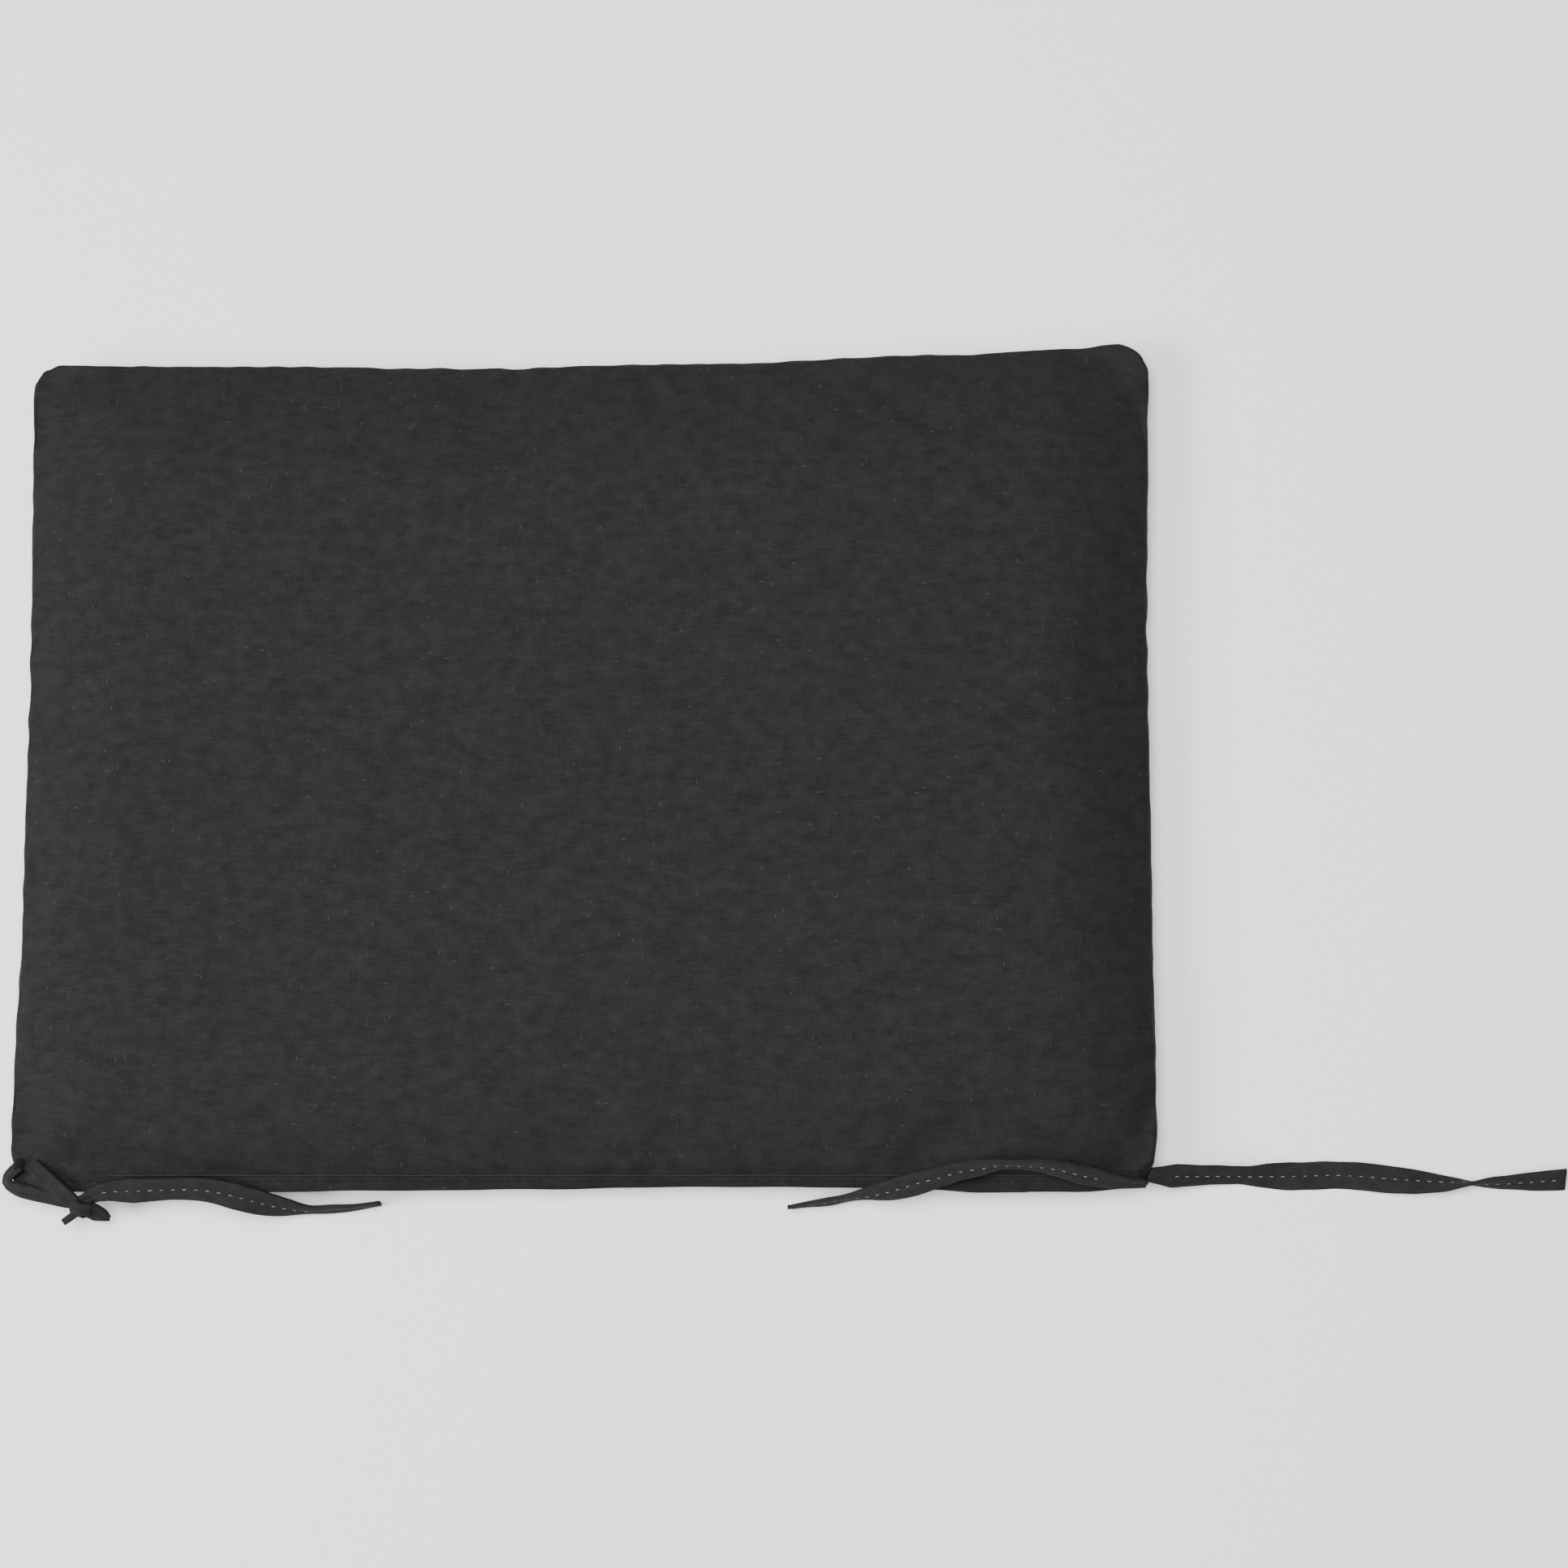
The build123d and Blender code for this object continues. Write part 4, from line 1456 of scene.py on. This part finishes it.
@dataclass
class Ties:
    """The pair of tie tapes at each rear corner: the left pair is knotted, the right pair hangs loose."""

    diameter: float = 0.0115
    right_outer: tuple = (
        (229, -161.5, 20), (240, -162, 15.5), (256, -161.5, 9), (270, -161.5, 6), (290, -162, 2),
        (311, -161, 2), (332, -163.5, 3), (352, -165, 6), (371, -164.5, 6.5), (388, -164, 5.5), (401, -163, 5.5),
    )
    right_outer_across: tuple = (
        (0.1, 0.7, 0.7), (0, 0.85, 0.55), (0, 0.6, 0.8), (0, 0.55, 0.85), (0, 1, 0.1), (0, 0.95, 0.3),
        (0, 0.95, -0.3), (0, 0.5, -0.85), (0, -0.3, -0.95), (0, -0.6, -0.8), (0, -0.7, -0.7),
    )
    right_inner: tuple = (
        (228, -165, 20.5), (217, -165, 24.5), (203, -162, 29), (186, -158, 34.5), (168, -157.5, 37),
        (150, -160.5, 34), (135, -165, 27.5), (120, -169, 18.5), (106, -171, 12), (94, -173, 8.5),
        (84, -174.5, 6),
    )
    right_inner_across: tuple = (
        (0.3, 0.5, 0.8), (0.2, 0.55, 0.8), (0.2, 0.6, 0.75), (0.1, 0.35, 0.95), (0, 0.2, 1), (-0.2, 0.6, 0.8),
        (-0.3, 0.75, 0.6), (-0.25, 0.5, 0.85), (-0.45, 0.1, 0.9), (-0.6, 0, 0.8), (-0.65, -0.05, 0.75),
    )
    left_long: tuple = (
        (-228, -157.5, 20), (-233, -160.5, 19.5), (-234.5, -165, 19), (-230, -167.5, 19), (-221, -169.5, 19),
        (-211, -172, 19.5), (-203, -173, 20.5), (-195.5, -168, 23), (-182, -168, 23), (-166, -167, 23.5),
        (-151, -167.5, 23.5), (-139, -170.5, 22), (-127, -174, 16), (-112, -176, 8.5), (-98, -175, 7),
        (-83.5, -173, 6.5),
    )
    left_long_across: tuple = (
        (0.2, -0.5, 0.85), (0.45, -0.25, 0.85), (0.6, 0, 0.8), (0.35, 0.5, 0.8), (0.15, 0.6, 0.8),
        (0.15, 0.6, 0.8),
        (0.1, 0.7, 0.7), (0.15, 0.9, 0.45), (0, 0.85, 0.5), (0, 0.65, 0.75), (0, 0.85, 0.5), (0, 0.9, 0.4),
        (-0.1, 0.65, 0.75), (0, 0.25, 0.95), (0, 0.1, 1), (0, 0.05, 1),
    )
    left_long_squeeze: tuple = (0.7, 0.75, 0.8, 0.8, 0.75, 0.6, 0.42, 0.7, *(1,) * 8)
    left_short: tuple = (
        (-223.5, -160, 21.5), (-215.5, -165.5, 23.5), (-208.5, -171, 22.5), (-204, -174, 20.5),
    )
    knot_centre: Point = (-203, -174.4, 20.4)
    # per side: the root's corner end, the bartack's middle and its half-size in mm; the bartack is enlarged so
    # that its dark thread paints the shade of the corner hollow
    corners: ClassVar[dict] = {
        1: ((228.2, -163.0, 17.2), (226.9, -160.4, 21.4), (2.1, 2.8, 2.7)),
        -1: ((-230.6, -164.2, 17.2), (-228.6, -158.6, 22.4), (1.75, 3.4, 3.7)),
    }

    def right_side(self) -> None:
        """Makes the right pair, its folded root and its bartack, whose dark thread is also painted shade for the
        corner hollow.
        """
        root, tack = self.root("right_root", 1, "right_tie_root", "right_tie_bartack")
        outer = Ribbon(
            "right_outer_tie", self.right_outer, self.right_outer_across,
            squeeze=(0.55, 0.95, *(1,) * 9), seed=3,
            sewn_from=0.012,
        )
        self.declare(outer, "right_tie_outer_tail", [root, tack])
        inner = Ribbon(
            "right_inner_tie", self.right_inner, self.right_inner_across,
            squeeze=(0.35, 0.65, *(1,) * 9), seed=4,
            sewn_from=0.022,
        )
        self.declare(inner, "right_tie_inner_tail", [])

    def left_side(self) -> None:
        """Makes the left pair, knotted to itself, with its folded root and bartack, whose dark thread is also
        painted shade for the corner hollow.
        """
        root, tack = self.root("left_root", -1, "left_tie_root", "left_tie_bartack")
        short = Ribbon(
            "left_short_strand",
            self.left_short,
            ((0.5, 0.66, 0.4), (0.5, 0.66, 0.5), (0.5, 0.66, 0.56), (0.5, 0.66, 0.56)),
            squeeze=(1.0, 0.9, 0.72, 0.45),
            stitched=False,
            seed=6,
        ).build()
        dress(short, TIE_CLOTH, Slot.TAPE, "left_tie_short_tail")
        knot = self.knot()
        long = Ribbon(
            "left_long_tie", self.left_long, self.left_long_across, squeeze=self.left_long_squeeze, seed=7,
            sewn_from=0.052, unsewn=0.03,
        )
        self.declare(long, "left_tie_long_tail", [short, knot, root, tack], "left_tie_loop")

    def declare(self, ribbon: Ribbon, node: str, with_pieces: list, *more: str) -> None:
        """Builds a loose tape and dresses it."""
        item = ribbon.build()
        dress(item, TIE_CLOTH, Slot.TAPE, node, *more)

    def root(self, name: str, side: int, node: str, tack_node: str) -> tuple:
        """Makes the doubled end of a pair of ties, sewn into the corner, and its bartack, whose dark thread is
        enlarged to paint the shade of the hollow there.

        Args:
            name: the object's name.
            side: -1 on the left, 1 on the right.
            node: the root's CAD node.
            tack_node: the bartack's CAD node.

        Returns:
            The root and the bartack.
        """
        corner, shade_tack_middle, shade_tack_half = self.corners[side]
        inner = (corner[0] - side * 8.7, corner[1] + 8.0, corner[2] + 0.6)
        mean = tuple((a + b) / 2 for a, b in zip(inner, corner))
        folded = Ribbon(
            name, (inner, mean, corner), ((side * 0.7, 0.7, 0),) * 3,
            width=0.009, thick=0.0022, stitched=False, seed=9,
        ).build()
        dress(folded, TIE_CLOTH, Slot.TAPE, node)
        line = [
            (tuple((m + h * t) * MM for m, h in zip(shade_tack_middle, shade_tack_half)), (-side * 0.3, -0.2, 0.9))
            for t in np.linspace(-1, 1, 12)
        ]
        # dark thread over the corner hollow: a bartack, and painted shade as well
        tack = BARTACK_AND_PAINTED_SHADE.sew(f"{name}_bartack", [line], DARK_THREAD, seed=12)
        dress(tack, DARK_THREAD, Slot.DARK_THREAD, tack_node)
        return folded, tack

    def turn(self, axis: Point, radius: float, start: float, sweep: float) -> tuple:
        """Points of one turn of tape round the knot.

        Args:
            axis: the direction that the turn goes round.
            radius: of the turn, in millimetres.
            start: the angle that it starts at.
            sweep: the angle that it goes through.

        Returns:
            Eight points, in millimetres.
        """
        way = Vector(axis).normalized()
        first = way.orthogonal().normalized()
        second = way.cross(first)
        points = []
        for step in range(8):
            angle = start + sweep * step / 7
            grown = radius * (1 + 0.04 * step)
            reach = (first * math.cos(angle) + second * math.sin(angle)) * grown + way * (0.25 * (step - 3.5))
            points.append(tuple(c + r for c, r in zip(self.knot_centre, reach)))
        return tuple(points)

    def knot(self) -> bpy.types.Object:
        """Makes the overhand knot with its slipped loop and short end."""
        wrap_axis, turn_axis = (0.88, -0.4, 0.25), (0.35, 0.85, 0.4)
        parts = [
            Ribbon(
                "knot_wrap", self.turn(wrap_axis, 2.9, 0.3, 5.6), (wrap_axis,) * 8,
                width=0.0058, thick=0.0018, seed=14, stitched=False, pitch=0.0008,
            ),
            Ribbon(
                "knot_turn", self.turn(turn_axis, 2.7, 1.4, 5.4), (turn_axis,) * 8,
                width=0.0054, thick=0.0018, seed=15, stitched=False, pitch=0.0008,
            ),
            Ribbon(
                "knot_slip_loop",
                (
                    (-202.8, -174.4, 20.5), (-199.6, -175.6, 18.5), (-195.8, -177.4, 14.5),
                    (-193.6, -178.6, 12), (-194.6, -178.8, 10.4), (-198.4, -177.8, 12.8), (-202, -176, 17),
                ),
                ((0.4, 0.65, 0.65),) * 7,
                squeeze=(0.45, 0.72, 0.5, 0.26, 0.26, 0.5, 0.4),
                seed=16, stitched=False, pitch=0.001,
            ),
            Ribbon(
                "knot_short_end",
                (
                    (-201.6, -174.2, 19.5), (-203.8, -175.7, 18.2), (-206.2, -177.2, 16.7),
                    (-209.8, -179.6, 14.6),
                ),
                ((0.1, -0.1, 0.99),) * 4,
                thick=0.0024, squeeze=(0.5, 0.6, 0.64, 0.64), stitched=False, seed=17, pitch=0.001,
            ),
        ]
        knot = join(*[part.build() for part in parts])
        knot.name = "left_knot"
        dress(knot, TIE_CLOTH, Slot.TAPE, "left_tie_knot")
        return knot

    def build(self) -> None:
        """Makes both pairs."""
        self.right_side()
        self.left_side()


# ---- Camera, floor and lights -------------------------------------------------------------------
@dataclass
class Studio:
    """A camera nearly overhead, a pale floor and soft light."""

    target: Point = (0.0813, -0.002, 0.020)
    distance: float = 1.5
    tilt: float = math.radians(7)
    lens: float = 83.9

    def camera(self) -> None:
        """Places the camera."""
        data = bpy.data.cameras.new("overhead")
        data.lens = self.lens
        data.sensor_width = 36.0
        item = in_scene("overhead", data)
        x, y, z = self.target
        item.location = (x, y - self.distance * math.sin(self.tilt), z + self.distance * math.cos(self.tilt))
        item.rotation_euler = (self.tilt, 0.0, 0.0)
        bpy.context.scene.camera = item

    def floor(self) -> None:
        """Makes the floor."""
        half = 3.0
        corners = [(-half, -half, 0), (half, -half, 0), (half, half, 0), (-half, half, 0)]
        item = make_object("floor", corners, [(0, 1, 2, 3)])
        material, _, shader = new_material("pale_floor")
        shader.inputs["Base Color"].default_value = (0.93, 0.93, 0.93, 1)
        shader.inputs["Roughness"].default_value = 0.7
        shader.inputs["Specular IOR Level"].default_value = 0.1
        item.data.materials.append(material)

    def light(self, name: str, place: Point, aim: Point, size: float, power: float) -> None:
        """Hangs a soft square light.

        Args:
            name: the light's name.
            place: where it is.
            aim: where it points.
            size: its side, in metres.
            power: in watts.
        """
        data = bpy.data.lights.new(name, "AREA")
        data.size = size
        data.energy = power
        item = in_scene(name, data)
        item.location = place
        item.rotation_euler = (Vector(aim) - Vector(place)).to_track_quat("-Z", "Y").to_euler()

    def build(self) -> None:
        """Sets the stage."""
        self.camera()
        self.floor()
        self.light("left_key", (-1.9, -0.55, 1.8), (0, 0, 0), 1.1, 70)
        self.light("overhead_fill", (-0.1, 0.05, 2.5), (0.0, 0, 0), 1.2, 105)
        world = bpy.data.worlds.new("studio")
        world.use_nodes = True
        world.node_tree.nodes["Background"].inputs["Color"].default_value = (1, 1, 1, 1)
        world.node_tree.nodes["Background"].inputs["Strength"].default_value = 0.1
        bpy.context.scene.world = world


def main() -> None:
    """Builds the pad and its studio."""
    Studio().build()
    Ties().build()
    form = PadForm()
    Cover(form).build()
    Filling(form).build()
    RearLip().build()
    CoilZip().build()


if __name__ == "__main__":
    main()
